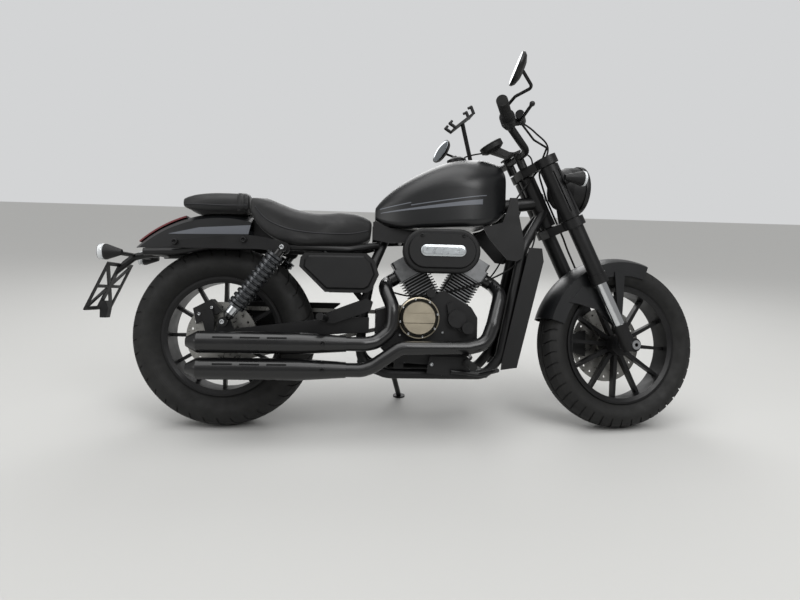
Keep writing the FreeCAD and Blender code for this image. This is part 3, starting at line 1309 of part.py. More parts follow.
def make_rear_body():
    shell = fender_shell(
        fender_radius() - S.fender_wall, S.fender_wall, S.rear_fender_half - S.fender_wall, 150,
        S.rear_fender_start, S.rear_fender_end
    )
    above = Part.makeBox(900, 400, 400, vec(-450, -200, S.rear_fender_floor - S.rear_radius))
    shaped("rear_fender", "chassis", shell.common(above), REAR)
    crown = fender_radius()
    lamp = Piece("tail_lamp", "chassis", REAR)
    strip = outline((crown + 0.3, -42), (crown + 0.3, 42), (crown + 7, 36), (crown + 7, -36))
    tail = lamp.turn("XY", [strip])
    tail.Angle = 24
    NODES["tail_lamp"] = (lamp.body, "chassis", Placement(REAR.Base, Rotation(Vector(0, 1, 0), -132)))
    struts = Piece("fender_struts", "chassis")
    covers = Piece("side_covers", "chassis")
    for side in (1, -1):
        x, z = S.shock_top_x, S.shock_top_z
        shape = outline(
            (-158, 604), (130, 606), (170, 602), (x - 12, z - 17), (x + 21, z, "via"), (x + 4, z + 20),
            (150, 645), (96, 651), (20, 648), (-140, 628),
        )
        struts.pad("XZ", [shape], S.strut_wall, offset=-side * (strut_half() + S.strut_wall / 2))
        corners = (
            (262, 552), (266, 582), (280, 598), (484, 600), (512, 574), (526, 530), (504, 480), (486, 469), (348, 469),
        )
        covers.pad("XZ", [outline(*corners)], 22, offset=-side * 120)
        middle_x, middle_z = 396, 540
        panel = [(middle_x + (x - middle_x) * 0.9, middle_z + (z - middle_z) * 0.86) for x, z in corners]
        raised = covers.pad("XZ", [outline(*panel)], 7, offset=-side * 131, both=False, back=side > 0)
        raised.TaperAngle = -40
    place = Placement(vec(-362, 0, 553), Rotation(Vector(0, 1, 0), 25.3))
    holder = Piece("plate_holder", "chassis", place)
    half, foot, border = S.plate_half, -S.plate_height, S.plate_border
    holder.pad("YZ", [box_outline(-half, foot, half, 0)], 6)
    holder.pocket("YZ", [box_outline(border - half, foot + border, half - border, -border)], 20)
    for side in (1, -1):
        left, right = side * (border - half - 1), side * (half - border + 1)
        diagonal = outline(
            (left, foot + border + 9), (left, foot + border - 1), (left + side * 10, foot + border - 1),
            (right, -border - 9), (right, 1 - border), (right - side * 10, 1 - border),
        )
        holder.pad("YZ", [diagonal], 5)
    holder.pad("YZ", [box_outline(border - half - 1, foot / 2 - 5, half - border + 1, foot / 2 + 5)], 5)
    holder.pad("YZ", [box_outline(-11, foot + border - 1, 11, 1 - border)], 6)
    flap = []
    for x, z in ((-424, 424), (-404, 424), (-396, 398), (-402, 366), (-424, 366)):
        spot = place.inverse().multVec(Vector(x, 0, z))
        flap.append((spot.x, spot.z))
    holder.pad("XZ", [outline(*flap)], 30)
    x, z = S.tail_cross_x, S.tail_cross_z
    route = [(-384, 0, 522), (-318, 0, 576), (-280, 0, 585), (x, 0, z)]
    behind = Part.makeBox(200, 400, 600, Vector(-197 + float(S.fit_gap), -200, -300))
    behind.Placement = NODES["plate_holder"][2]
    reach = rail_half() - S.tube_light - S.fit_gap
    cross = rod(vec(x, -reach, z), vec(x, reach, z), 9)
    shaped("tail_bracket", "chassis", tube(route, 12, 40).cut(behind).fuse(cross))
    bar = rod(vec(-318, -164, 582), vec(-318, 164, 582), 7)
    shapes = []
    for side in (1, -1):
        middle = vec(-330, 164 * side, 582)
        body = Part.makeCone(9, float(S.signal_radius), 46, middle + Vector(38, 0, 0), Vector(-1, 0, 0))
        lens = Part.makeCylinder(float(S.signal_radius), 22, middle - Vector(8, 0, 0), Vector(-1, 0, 0))
        shapes.append(body.fuse(lens))
    shaped("rear_signals", "chassis", bar.fuse(shapes).cut(tube(route, 12 + S.fit_gap, 40)))


def make_radiator():
    turn = Rotation(Vector(0, 1, 0), 12.6)
    core = Piece("radiator", "chassis", Placement(vec(S.radiator_x, 0, 420), turn))
    core.pad("XY", [box_outline(-17, -S.radiator_half, 17, S.radiator_half)], S.radiator_height)
    step = (S.radiator_height - 20) / S.radiator_fins
    low = S.radiator_height / -2 + 10
    slot = box_outline(12 - S.radiator_half, low, S.radiator_half - 12, low + step * 0.6)
    row = core.pocket("YZ", [slot], 5, offset=17, both=False)
    core.row([row], "Z_Axis", step * (S.radiator_fins - 1), S.radiator_fins)
    plates = Piece("radiator_shroud", "chassis", Placement(vec(S.radiator_x, 0, 420), turn))
    for side in (1, -1):
        plate = outline((-26, -216), (26, -196), (30, 180), (14, 222), (-30, 214), (-30, -180))
        plates.pad("XZ", [plate], 5, offset=(S.radiator_half + S.fit_gap + 2.5) * side)


def make_frame_covers():
    """Covers at the frame's neck and panels between the seat and the tank, each pair on a cross rod."""
    neck = (
        (880, 702), (948, 720), (966, 770), (972, 806), (998, 806), (1006, 740), (1026, 650), (1020, 600),
        (1000, 588), (968, 592), (905, 660),
    )
    under_seat = ((504, 652), (504, 713), (512, 716), (560, 694.5), (640, 687), (636, 646), (560, 642))
    pairs = []
    # Outline, inner face from the middle, cross rod's x and z
    for corners, inner, x, z in ((neck, S.neck_cover_half, 985, 758.5), (under_seat, S.seat_panel_half, 604, 653.6)):
        plates = []
        for side in (1, -1):
            flat = polygon([vec(at_x, side * inner, at_z) for at_x, at_z in corners])
            plates.append(flat.extrude(vec(0, side * S.panel_wall, 0)))
        pairs.append(rod(vec(x, -inner - 2, z), vec(x, inner + 2, z), 8).fuse(plates))
    shaped("frame_covers", "chassis", Part.makeCompound(pairs))


def make_phone_holder():
    """Phone holder on the left of the handlebar: clamp, arm, back plate and four claws."""
    elbow = vec(*bar_spot(1, S.bar_elbow_half, S.bar_elbow_back, S.bar_elbow_rise))
    knee = vec(*bar_spot(1, S.bar_knee_half, 0, 0))
    way = (elbow - knee).normalize()
    foot = elbow - way * S.holder_from_elbow
    clamp = rod(foot - way * 8, foot + way * 8, S.bar_radius + 6)
    place = Placement(foot + Vector(14, -50, 155), Rotation(Vector(0, 1, 0), -14.5))
    back = [vec(x, y, -4) for x, y in ((-50, -30), (50, -30), (50, 30), (-50, 30))]
    pieces = [polygon([place.multVec(spot) for spot in back]).extrude(place.Rotation.multVec(Vector(0, 0, 8)))]
    for x in (-46, 46):
        for y in (-27, 27):
            root = place.multVec(Vector(x, y, -3))
            tip = place.multVec(Vector(x * 1.2, y, 24))
            lip = place.multVec(Vector(x * 0.9, y, 27))
            pieces += [rod(root, tip, 6), Part.makeSphere(6, tip), rod(tip, lip, 5)]
    pieces.append(rod(foot, place.Base, 8))
    bore = rod(foot - way * 40, foot + way * 40, S.bar_radius + S.fit_gap)
    shaped("phone_holder", "fork", clamp.fuse(pieces).cut(bore))


def make_brake_line():
    """Hose from the right lever ahead of the clamps and down the left leg to the caliper."""
    inner, outer = master_ends()
    way = (inner - outer).normalize()
    route = [
        tuple(inner + way * float(S.fit_gap)), tuple(inner + way * 34), (0, -150, 1092), (64, -100, 1056), (96, 0, 1040), (84, 54, 990), (72, 56, 900),
        (70, 56, 740), (82, 84, 690), (86, 94, 600), (64, 138, 510), (6, 134, 440), (-38, 108, 416), (-44, 80, 412),
    ]
    shaped("brake_lines", "fork", tube(route, S.hose_radius, 30))


def make_controls():
    plates = []
    pegs, levers, passenger = [], [], []
    wall = 8
    inner = S.case_half + 22
    for side in (-1, 1):
        shape = Part.makePolygon([vec(x, side * inner, z) for x, z in (
            (690, 206), (820, 190), (842, 212), (828, 262), (700, 262), (690, 206))])
        plate = Part.Face(shape).extrude(vec(0, side * wall, 0))
        foot = S.cradle_half + S.tube_main + S.fit_gap
        plates.append(plate.fuse(rod(vec(750, side * foot, 200), vec(750, side * (inner + 2), 200), 9)))
        start = inner + wall + S.fit_gap
        pegs.append(rod(vec(822, side * start, 243), vec(822, side * 270, 243), 13))
        levers.append(tube([
            (770, side * (start + 7), 214), (868, side * (start + 7), 204), (905, side * 200, 222),
            (905, side * 242, 230)
        ], 7, 20))
        reach = S.arm_side + S.arm_wall / 2 + 8
        outer = reach + 8
        shape = Part.makePolygon([vec(x, side * reach, z) for x, z in (
            (330, 374), (380, 366), (500, 410), (508, 440), (486, 450), (340, 394), (330, 374))])
        bracket = Part.Face(shape).extrude(vec(0, side * 8, 0))
        mast = S.cradle_half - 28 + S.tube_main + S.fit_gap
        boss = rod(vec(490, side * mast, 434), vec(490, side * outer, 434), 9)
        passenger.append(bracket.fuse([boss, rod(vec(352, side * outer, 382), vec(340, side * 236, 392), 12)]))
    shaped("peg_plates", "chassis", Part.makeCompound(plates))
    shaped("rider_pegs", "chassis", Part.makeCompound(pegs))
    shaped("foot_levers", "chassis", Part.makeCompound(levers))
    shaped("passenger_pegs", "chassis", Part.makeCompound(passenger))


# Angles of a roller's six sides
SIXTHS = [math.radians(60 * number) for number in range(6)]


def make_drive():
    """Chain loop of two side plates, with rollers on the straight runs between the sprockets."""
    side = float(S.sprocket_side)
    outer = float(S.sprocket_radius + S.tooth_height) - 3
    small = float(S.chain_radius) - 6
    a = vec(0, S.sprocket_side, S.rear_radius)
    b = vec(S.drive_x, S.sprocket_side, S.drive_z)
    way = (b - a).normalize()
    rise = math.atan2(b.z - a.z, b.x - a.x)
    lean = math.asin((outer - small) / (b - a).Length)
    up = Vector(-math.sin(rise - lean), 0, math.cos(rise - lean))
    down = Vector(math.sin(rise + lean), 0, -math.cos(rise + lean))
    def band(r_a, r_b):
        top_a, top_b = a + up * r_a, b + up * r_b
        low_a, low_b = a + down * r_a, b + down * r_b
        edges = [
            Part.LineSegment(top_a, top_b).toShape(),
            Part.Arc(top_b, b + way * r_b, low_b).toShape(),
            Part.LineSegment(low_b, low_a).toShape(),
            Part.Arc(low_a, a - way * r_a, top_a).toShape(),
        ]
        return Part.Face(Part.Wire(edges))
    half = float(S.chain_height) / 2
    flat = band(outer + half, small + half).cut(band(outer - half, small - half))
    wall = float(S.chain_wall)
    gap = float(S.sprocket_wall) / 2 + float(S.chain_gap)
    pieces = [
        flat.extrude(Vector(0, wall, 0)).translated(Vector(0, gap, 0)),
        flat.extrude(Vector(0, wall, 0)).translated(Vector(0, -gap - wall, 0)),
    ]
    for way_out in (up, down):
        first, last = a + way_out * outer, b + way_out * small
        run = (last - first).Length
        count = int((run - 88) / (float(S.chain_pitch) * 2))
        for i in range(count):
            spot = first + (last - first) * ((44 + i * float(S.chain_pitch) * 2) / run)
            corners = [spot + Vector(4 * math.cos(turn), -gap, 4 * math.sin(turn)) for turn in SIXTHS]
            pieces.append(polygon(corners).extrude(Vector(0, gap * 2, 0)))
    shaped("chain", "chassis", pieces[0].fuse(pieces[1:]))


def axle_height(axle_way, rings):
    """Height over the floor of the centre of a wheel whose axle leans, from its tyre's rings."""
    upright = math.sqrt(1 - axle_way.z ** 2)
    return max(float(r) * upright + float(y) * abs(axle_way.z) for r, y in rings)


def park():
    """Placement of the upright motorcycle so that both leaning tyres touch the floor."""
    steer = TO_FORK.multiply(Placement(Vector(), Rotation(Vector(0, 0, 1), float(S.steer_angle))))
    rear_rings = tyre_rings(S.rear_radius, S.rear_half_width, S.rear_bead)
    front_rings = tyre_rings(S.front_radius, S.front_half_width, S.front_bead)
    pitch = 0.0
    for _ in range(12):
        turn = Rotation(Vector(1, 0, 0), -float(S.lean_angle)).multiply(Rotation(Vector(0, 1, 0), pitch))
        rear_way = turn.multVec(Vector(0, 1, 0))
        front_way = turn.multVec(steer.Rotation.multVec(Vector(0, 1, 0)))
        rear_height = axle_height(rear_way, rear_rings)
        front_height = axle_height(front_way, front_rings)
        lift = rear_height - turn.multVec(REAR.Base).z
        front_now = turn.multVec(steer.multVec(FRONT.Base)).z + lift
        pitch += math.degrees((front_now - front_height) / float(S.wheelbase))
    return Placement(Vector(0, 0, lift), turn), steer


UPRIGHT, STEER = park()


def stand_spots():
    """Pivot, foot, floor normal, folded direction and hinge axis, on the upright motorcycle."""
    pivot = vec(S.stand_x, S.stand_y, S.stand_z)
    back = UPRIGHT.inverse()
    up = back.Rotation.multVec(Vector(0, 0, 1))
    foot = vec(S.stand_x + S.stand_reach, S.stand_foot_y, 0)
    height = UPRIGHT.multVec(foot).z
    foot = foot - Vector(0, 0, 1) * (height / up.z)
    folded = vec(-cosine(S.stand_folded_rise), S.stand_folded_out, sine(S.stand_folded_rise)).normalize()
    leg = (foot - pivot).normalize()
    axis = leg.cross(folded).normalize()
    return pivot, foot, up, folded, axis


def make_stand():
    pivot, foot, up, folded, axis = stand_spots()
    wall = float(S.foot_wall)
    leg = rod(pivot, foot + up * (wall / 2), S.stand_radius)
    plate = Part.makeCylinder(float(S.foot_radius), wall, foot, up)
    half = float(S.stand_boss_half)
    boss = Part.makeCylinder(17, half * 2, pivot - axis * half, axis)
    bore = Part.makeCylinder(6.3, 80, pivot - axis * 40, axis)
    under = Part.makeBox(400, 400, 100, Vector(-200, -200, -100))
    under.Placement = Placement(foot, Rotation(Vector(0, 0, 1), up))
    shaped("stand_leg", "stand", leg.fuse([plate, boss]).cut(under).cut(bore))


def stand_ears():
    """Ear on the left frame rail with the pin that carries the stand, and its washer."""
    pivot, foot, up, folded, axis = stand_spots()
    rail = vec(S.stand_x, S.cradle_half, S.cradle_floor)
    reach = float(S.stand_boss_half + S.fit_gap)
    inner = pivot - axis * (reach + 8)
    ear = Part.makeCylinder(15, 8, inner, axis)
    pin = Part.makeCylinder(6, reach * 2 + 11, inner, axis)
    washer = Part.makeCylinder(11, 3, pivot + axis * reach, axis)
    return [ear, rod(rail, inner, 8), pin, washer]


make_wheels()
make_fork()
make_bars()
make_front_lamps()
make_front_fender()
make_calipers()
make_frame()
make_swingarm()
make_shocks()
make_engine()
make_exhaust()
make_tank_and_seats()
make_rear_body()
make_radiator()
make_frame_covers()
make_phone_holder()
make_brake_line()
make_controls()
make_drive()
make_stand()
DOC.recompute()
UPRIGHT_GROUPS = ("chassis", "rear_wheel", "stand")


def whole_box(origin):
    box = FreeCAD.BoundBox()
    for thing, group, at in NODES.values():
        place = UPRIGHT.multiply(at) if group in UPRIGHT_GROUPS else UPRIGHT.multiply(STEER).multiply(at)
        thing.Placement = Placement(origin, Rotation()).multiply(place)
        box.add(thing.Shape.optimalBoundingBox(False, False))
    return box


def finish():
    """Parks every piece with the origin on the floor under the middle of the motorcycle."""
    box = whole_box(Vector())
    origin = Vector(-box.Center.x, -box.Center.y, 0)
    whole_box(origin)
    os.makedirs("parts", exist_ok=True)
    for item in DOC.Objects:
        bad = {"Invalid", "Error"} & set(item.State)
        if bad:
            raise RuntimeError("%s failed: %s" % (item.Name, item.getStatusString()))
    for name, (thing, group, at) in NODES.items():
        shape = thing.Shape
        if shape.isNull() or not shape.isValid():
            raise RuntimeError(name + " has no valid shape")
        shape.exportStep("parts/%s.step" % name)
    return origin


ORIGIN = finish()
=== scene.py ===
"""Looks of a low cruiser motorcycle: paint, leather, rubber, cast and machined metal, the tyres' tread,
fasteners, lamps, cables and padded seats. Numbers are millimetres and degrees unless a comment says
otherwise; the scene itself is in metres.
"""

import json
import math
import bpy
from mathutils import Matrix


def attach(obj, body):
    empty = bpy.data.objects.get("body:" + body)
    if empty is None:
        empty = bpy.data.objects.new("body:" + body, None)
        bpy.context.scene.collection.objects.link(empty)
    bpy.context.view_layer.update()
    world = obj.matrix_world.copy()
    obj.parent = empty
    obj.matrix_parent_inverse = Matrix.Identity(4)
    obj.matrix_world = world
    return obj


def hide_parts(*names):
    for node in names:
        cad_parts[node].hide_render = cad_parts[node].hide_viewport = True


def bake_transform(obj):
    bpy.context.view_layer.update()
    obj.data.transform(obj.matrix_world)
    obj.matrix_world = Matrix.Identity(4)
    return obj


bl_info = {
    "name": "Cruiser motorcycle looks",
    "version": (1, 0, 0),
    "blender": (4, 5, 0),
    "location": "View3D > Sidebar > Cruiser",
    "description": "Finishes and small parts of a cruiser motorcycle",
    "category": "Object",
}

import bmesh
import bpy
import numpy as np
from mathutils import Matrix, Vector
from mathutils.bvhtree import BVHTree

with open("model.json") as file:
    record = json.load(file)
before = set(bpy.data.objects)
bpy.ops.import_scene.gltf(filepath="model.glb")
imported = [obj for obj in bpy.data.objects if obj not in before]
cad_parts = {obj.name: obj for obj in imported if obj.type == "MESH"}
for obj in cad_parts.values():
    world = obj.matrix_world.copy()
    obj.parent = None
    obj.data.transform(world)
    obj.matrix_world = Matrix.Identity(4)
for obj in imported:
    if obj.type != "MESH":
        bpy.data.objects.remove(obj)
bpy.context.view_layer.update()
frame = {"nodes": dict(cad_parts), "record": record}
MM = 0.001


# The motorcycle's own axes


def joint(name):
    return next(j for j in frame["record"]["behaviour"]["joints"] if j["name"] == name)


def axes(origin, ahead, left, up):
    """Matrix from a frame in millimetres to the scene in metres."""
    turn = Matrix((ahead, left, up)).transposed().to_4x4()
    return Matrix.Translation(origin) @ turn @ Matrix.Scale(MM, 4)


STEERING_WAY = Vector(joint("steering")["axis"])
REAR_AXLE = Vector(joint("rear_wheel_spin")["pos_m"])
FRONT_AXLE = Vector(joint("front_wheel_spin")["pos_m"])
LEFT = Vector(joint("rear_wheel_spin")["axis"])
FORK_LEFT = Vector(joint("front_wheel_spin")["axis"])
RAKE = math.radians(26)
WHEELBASE, TRAIL = 1400, 90
REAR_RADIUS, FRONT_RADIUS = 310.5, 299
REAR_HALF_WIDTH, FRONT_HALF_WIDTH = 75, 60
ACROSS = LEFT.cross(STEERING_WAY)
AHEAD = ACROSS * math.cos(RAKE) - STEERING_WAY * math.sin(RAKE)
UPWARD = ACROSS * math.sin(RAKE) + STEERING_WAY * math.cos(RAKE)
# Upright motorcycle: X ahead of the rear axle, Y left of the middle, Z over the ground
UPRIGHT = axes(REAR_AXLE - UPWARD * REAR_RADIUS * MM, AHEAD, LEFT, UPWARD)
# Fork: X ahead of the steering axis, Y left, Z along the steering axis from its ground point
FORK = axes(
    UPRIGHT @ Vector((WHEELBASE + TRAIL, 0, 0)), FORK_LEFT.cross(STEERING_WAY), FORK_LEFT, STEERING_WAY
)
# Wheels: X ahead, Y along the axle, Z up the fork or the motorcycle, from the wheel's centre
REAR_WHEEL = axes(REAR_AXLE, AHEAD, LEFT, UPWARD)
FRONT_WHEEL = axes(FRONT_AXLE, FORK_LEFT.cross(STEERING_WAY), FORK_LEFT, STEERING_WAY)
# What rides on the fork, by its place on the upright motorcycle with the fork straight ahead
STRAIGHT = FORK @ Matrix.Rotation(RAKE, 4, "Y") @ Matrix.Translation((-WHEELBASE - TRAIL, 0, 0))
# Headlamp: from the bucket's middle, Z to the front
LAMP = STRAIGHT @ Matrix.Translation((1210, 0, 861)) @ Matrix.Rotation(math.pi / 2, 4, "Y")
# A wheel's axle as (x, z) in its own frame
AXLE = (0, 0)
# Places that several pieces share, as (x, z) on the upright motorcycle
CRANKSHAFT = (745, 372)
CLUTCH = (661, 389)
SHOCK_TOP, SHOCK_FOOT = (209, 611), (24, 366)
# Ways out of a surface
RIGHT, LEFTWARD = (0, -1, 0), (0, 1, 0)


def vee(lean):
    """Frame of a cylinder: the crankshaft with Z along the cylinder, leaning lean degrees forward."""
    x, z = CRANKSHAFT
    return UPRIGHT @ Matrix.Translation((x, 0, z)) @ Matrix.Rotation(math.radians(lean), 4, "Y")


# Sizes and colours a user would change


class CruiserSizes(bpy.types.PropertyGroup):
    tread_depth: bpy.props.FloatProperty(name="Tread depth", description="Millimetres", default=6, min=0)
    rear_pitches: bpy.props.IntProperty(name="Rear pitches", description="Tread blocks round", default=38)
    front_pitches: bpy.props.IntProperty(name="Front pitches", description="Tread blocks round", default=44)
    seat_swell: bpy.props.FloatProperty(name="Seat swell", description="Millimetres", default=7, min=0)
    cable_radius: bpy.props.FloatProperty(name="Cable radius", description="Millimetres", default=3, min=1)


class CruiserColours(bpy.types.PropertyGroup):
    paint: bpy.props.StringProperty(name="Paint", description="Tank and fenders, sRGB", default="#121315")
    stripe: bpy.props.StringProperty(name="Stripe", description="Stripes, sRGB", default="#5d6066")
    cover: bpy.props.StringProperty(name="Cover", description="Clutch cover, sRGB", default="#b3aa97")
    leather: bpy.props.StringProperty(name="Leather", description="Seats, sRGB", default="#111112")


def sizes():
    return bpy.context.scene.cruiser_sizes


def colours():
    return bpy.context.scene.cruiser_colours


# Meshes from arrays

# Points closer than this, in metres, are one point
SAME_SPOT = 1e-6
# Rays towards a surface start this far out, in metres
CAST_FROM = 0.5


def place(matrix, points):
    """Points, an array with the last axis x, y, z, taken through a 4x4 matrix."""
    m = np.array(matrix)
    return np.asarray(points, float) @ m[:3, :3].T + m[:3, 3]


def build(name, points, faces, smooth=True):
    """Mesh object at the origin from arrays of points (n, 3) and quads (m, 4). Points that coincide, as at
    the poles of a turned piece, are merged, which closes the mesh there."""
    points, faces = np.asarray(points, np.float32), np.asarray(faces, np.int32)
    mesh = bpy.data.meshes.new(name)
    mesh.vertices.add(len(points))
    mesh.vertices.foreach_set("co", points.ravel())
    sides = faces.shape[1]
    mesh.loops.add(faces.size)
    mesh.loops.foreach_set("vertex_index", faces.ravel())
    mesh.polygons.add(len(faces))
    mesh.polygons.foreach_set("loop_start", np.arange(len(faces)) * sides)
    mesh.update(calc_edges=True)
    mesh.polygons.foreach_set("use_smooth", np.full(len(faces), smooth))
    merged = bmesh.new()
    merged.from_mesh(mesh)
    bmesh.ops.remove_doubles(merged, verts=merged.verts, dist=SAME_SPOT)
    merged.to_mesh(mesh)
    merged.free()
    thing = bpy.data.objects.new(name, mesh)
    bpy.context.collection.objects.link(thing)
    return thing


def grid_faces(rows, columns, round_rows=False, round_columns=False):
    """Quads between neighbouring points of a grid numbered row by row, closed where it goes round."""
    i = np.arange(rows if round_rows else rows - 1)[:, None]
    j = np.arange(columns if round_columns else columns - 1)[None, :]
    a = i * columns + j
    b = ((i + 1) % rows) * columns + j
    c = ((i + 1) % rows) * columns + (j + 1) % columns
    d = i * columns + (j + 1) % columns
    return np.stack([a, d, c, b], -1).reshape(-1, 4)


def lathe(profile, matrix, count, ring=False):
    """Profile of (radius, height) turned about the matrix's Z: x = r cos a, y = r sin a, z = height.
    It runs clockwise, outwards over the top and back underneath: from axis to axis, or round a ring."""
    r, h = np.array(profile, float).T
    a = np.linspace(0, 2 * np.pi, count, endpoint=False)[:, None]
    points = np.stack([r * np.cos(a), r * np.sin(a), h + 0 * a], -1)
    faces = grid_faces(count, len(profile), round_rows=True, round_columns=ring)
    return place(matrix, points.reshape(-1, 3)), faces


def plate(outline_at, levels, matrix):
    """Closed plate on the matrix's XY plane. outline_at(size) gives its outline, anticlockwise and drawn in
    to its middle at size 0; levels are the outlines' (size, height), from the foot's middle to the top's."""
    rings = [np.insert(outline_at(size), 2, float(height), axis=1) for size, height in levels]
    return place(matrix, np.concatenate(rings)), grid_faces(len(rings), len(rings[0]), round_columns=True)


def spline(points, count):
    """Points of a curve through the given spots: Catmull-Rom pieces, evenly many on each."""
    p = np.array(points, float)
    p = np.concatenate([2 * p[:1] - p[1:2], p, 2 * p[-1:] - p[-2:-1]])
    span = np.linspace(0, len(points) - 1 - 1e-9, count)
    i = span.astype(int)
    t = (span - i)[:, None]
    a, b, c, d = p[i], p[i + 1], p[i + 2], p[i + 3]
    return 0.5 * (2 * b + (c - a) * t + (2 * a - 5 * b + 4 * c - d) * t**2 + (3 * b - a - 3 * c + d) * t**3)


def hose(points, radius, matrix, steps=60, sides=12):
    """Round tube along a smooth curve: each ring is centre + radius (cos a n + sin a m), with n and m across
    the curve. A ring of radius 0 at each end closes the tube."""
    line = spline(points, steps)
    along = np.gradient(line, axis=0)
    along /= np.linalg.norm(along, axis=1)[:, None]
    spare = np.where(np.abs(along[:, 1:2]) < 0.9, [[0.0, 1.0, 0.0]], [[1.0, 0.0, 0.0]])
    n = np.cross(along, spare)
    n /= np.linalg.norm(n, axis=1)[:, None]
    m = np.cross(along, n)
    a = np.linspace(0, 2 * np.pi, sides, endpoint=False)[None, :, None]
    each = np.array([0, *range(steps), steps - 1])
    size = np.full(steps + 2, float(radius))
    size[[0, -1]] = 0
    across = np.cos(a) * n[each][:, None] + np.sin(a) * m[each][:, None]
    points = line[each][:, None] + size[:, None, None] * across
    return place(matrix, points.reshape(-1, 3)), grid_faces(steps + 2, sides, round_columns=True)


def on_side(*places):
    """Spots (x, 0, z) in the middle plane from places (x, z)."""
    return [(x, 0, z) for x, z in places]


def on_surface(thing, matrix, spots, ways, lift=0.0):
    """Where lines back through the spots, each coming from half a metre out along its way, first meet a
    piece, raised by lift; in the matrix's millimetres."""
    tree = BVHTree.FromObject(thing, bpy.context.evaluated_depsgraph_get())
    back = matrix.inverted()
    home = thing.matrix_world
    local = home.inverted()
    found = []
    for spot, way in zip(spots, ways):
        ahead = (matrix.to_3x3() @ Vector(way)).normalized()
        start = matrix @ Vector(spot) + ahead * CAST_FROM
        hit = tree.ray_cast(local @ start, (local.to_3x3() @ -ahead).normalized())[0]
        if hit is None:
            raise RuntimeError(f"{thing.name} has nothing under {tuple(spot)}")
        found.append(back @ (home @ hit + ahead * lift * MM))
    return np.array(found)


# Materials


def linear(text):
    """sRGB hex to linear red, green, blue and 1."""
    parts = [int(text[i : i + 2], 16) / 255 for i in (1, 3, 5)]
    return [*((p / 12.92 if p <= 0.04045 else ((p + 0.055) / 1.055) ** 2.4) for p in parts), 1.0]


def add(tree, kind, inputs=None, **settings):
    """A node with its settings; inputs gives a socket's value, or the socket that feeds it."""
    node = tree.nodes.new(kind)
    for key, value in settings.items():
        setattr(node, key, value)
    for key, value in (inputs or {}).items():
        if isinstance(value, bpy.types.NodeSocket):
            tree.links.new(value, node.inputs[key])
        else:
            node.inputs[key].default_value = value
    return node


def material(name, colour, metallic=0.0, roughness=0.5, **more):
    """Principled material; returns (material, tree, shader, Object coordinates). Paint, rubber and plastic
    shine a little less than bare glass would, because dust and fine wear dull them."""
    made = bpy.data.materials.new(name)
    made.use_nodes = True
    tree = made.node_tree
    tree.nodes.clear()
    shader = add(tree, "ShaderNodeBsdfPrincipled", {
        "Base Color": linear(colour), "Metallic": metallic, "Roughness": roughness,
        "Specular IOR Level": 0.5 if metallic else 0.36, **more,
    })
    add(tree, "ShaderNodeOutputMaterial", {"Surface": shader.outputs[0]})
    coords = add(tree, "ShaderNodeTexCoord").outputs["Object"]
    return made, tree, shader, coords


def grain(tree, shader, coords, size, strength, distance):
    """Raises the surface by noise with features of size millimetres, up to distance millimetres."""
    noise = add(tree, "ShaderNodeTexNoise", {"Vector": coords, "Scale": 1 / (size * MM), "Detail": 4.0})
    bump = {"Height": noise.outputs["Fac"], "Strength": strength, "Distance": distance * MM}
    tree.links.new(add(tree, "ShaderNodeBump", bump).outputs[0], shader.inputs["Normal"])


def patchy(tree, coords, size, low, high, target):
    """Varies a socket between low and high over patches of size millimetres."""
    noise = add(tree, "ShaderNodeTexNoise", {"Vector": coords, "Scale": 1 / (size * MM), "Detail": 3.0})
    # Noise seldom leaves the middle of its range
    spread = add(tree, "ShaderNodeMapRange", {
        "Value": noise.outputs["Fac"], "From Min": 0.3, "From Max": 0.7, "To Min": low, "To Max": high,
    })
    tree.links.new(spread.outputs[0], target)


def layered(tree, base, *layers):
    """Colour socket of a base colour with others over it; each layer is (mask from 0 to 1, colour), and a
    colour is an sRGB hex text or a socket."""
    for mask, colour in layers:
        low, high = (linear(c) if isinstance(c, str) else c for c in (base, colour))
        # Sockets 0, 6 and 7 of a colour mix are its factor and its two colours, output 2 the result
        base = add(tree, "ShaderNodeMix", {0: mask, 6: low, 7: high}, data_type="RGBA").outputs[2]
    return base


def tinted(tree, shader, coords, size, one, two):
    """Varies the base colour between two sRGB colours over patches of size millimetres."""
    noise = add(tree, "ShaderNodeTexNoise", {"Vector": coords, "Scale": 1 / (size * MM), "Detail": 5.0})
    tree.links.new(layered(tree, one, (noise.outputs["Fac"], two)), shader.inputs["Base Color"])


def powder_coat():
    """Powder-coated steel: satin black with the faint orange peel that the baked powder leaves."""
    made, tree, shader, coords = material("powder_coated_steel", "#080809", 0.0, 0.42)
    grain(tree, shader, coords, 1.6, 0.35, 0.06)
    patchy(tree, coords, 60, 0.36, 0.5, shader.inputs["Roughness"])
    tinted(tree, shader, coords, 35, "#060607", "#0c0c0d")
    return made


def machine_paint():
    """Engine black sprayed on cast aluminium: the sand mould's grain shows through the satin paint."""
    made, tree, shader, coords = material("painted_cast_aluminium", "#111112", 0.0, 0.5)
    grain(tree, shader, coords, 1.1, 0.6, 0.12)
    patchy(tree, coords, 25, 0.4, 0.6, shader.inputs["Roughness"])
    tinted(tree, shader, coords, 20, "#09090a", "#0f0f10")
    return made


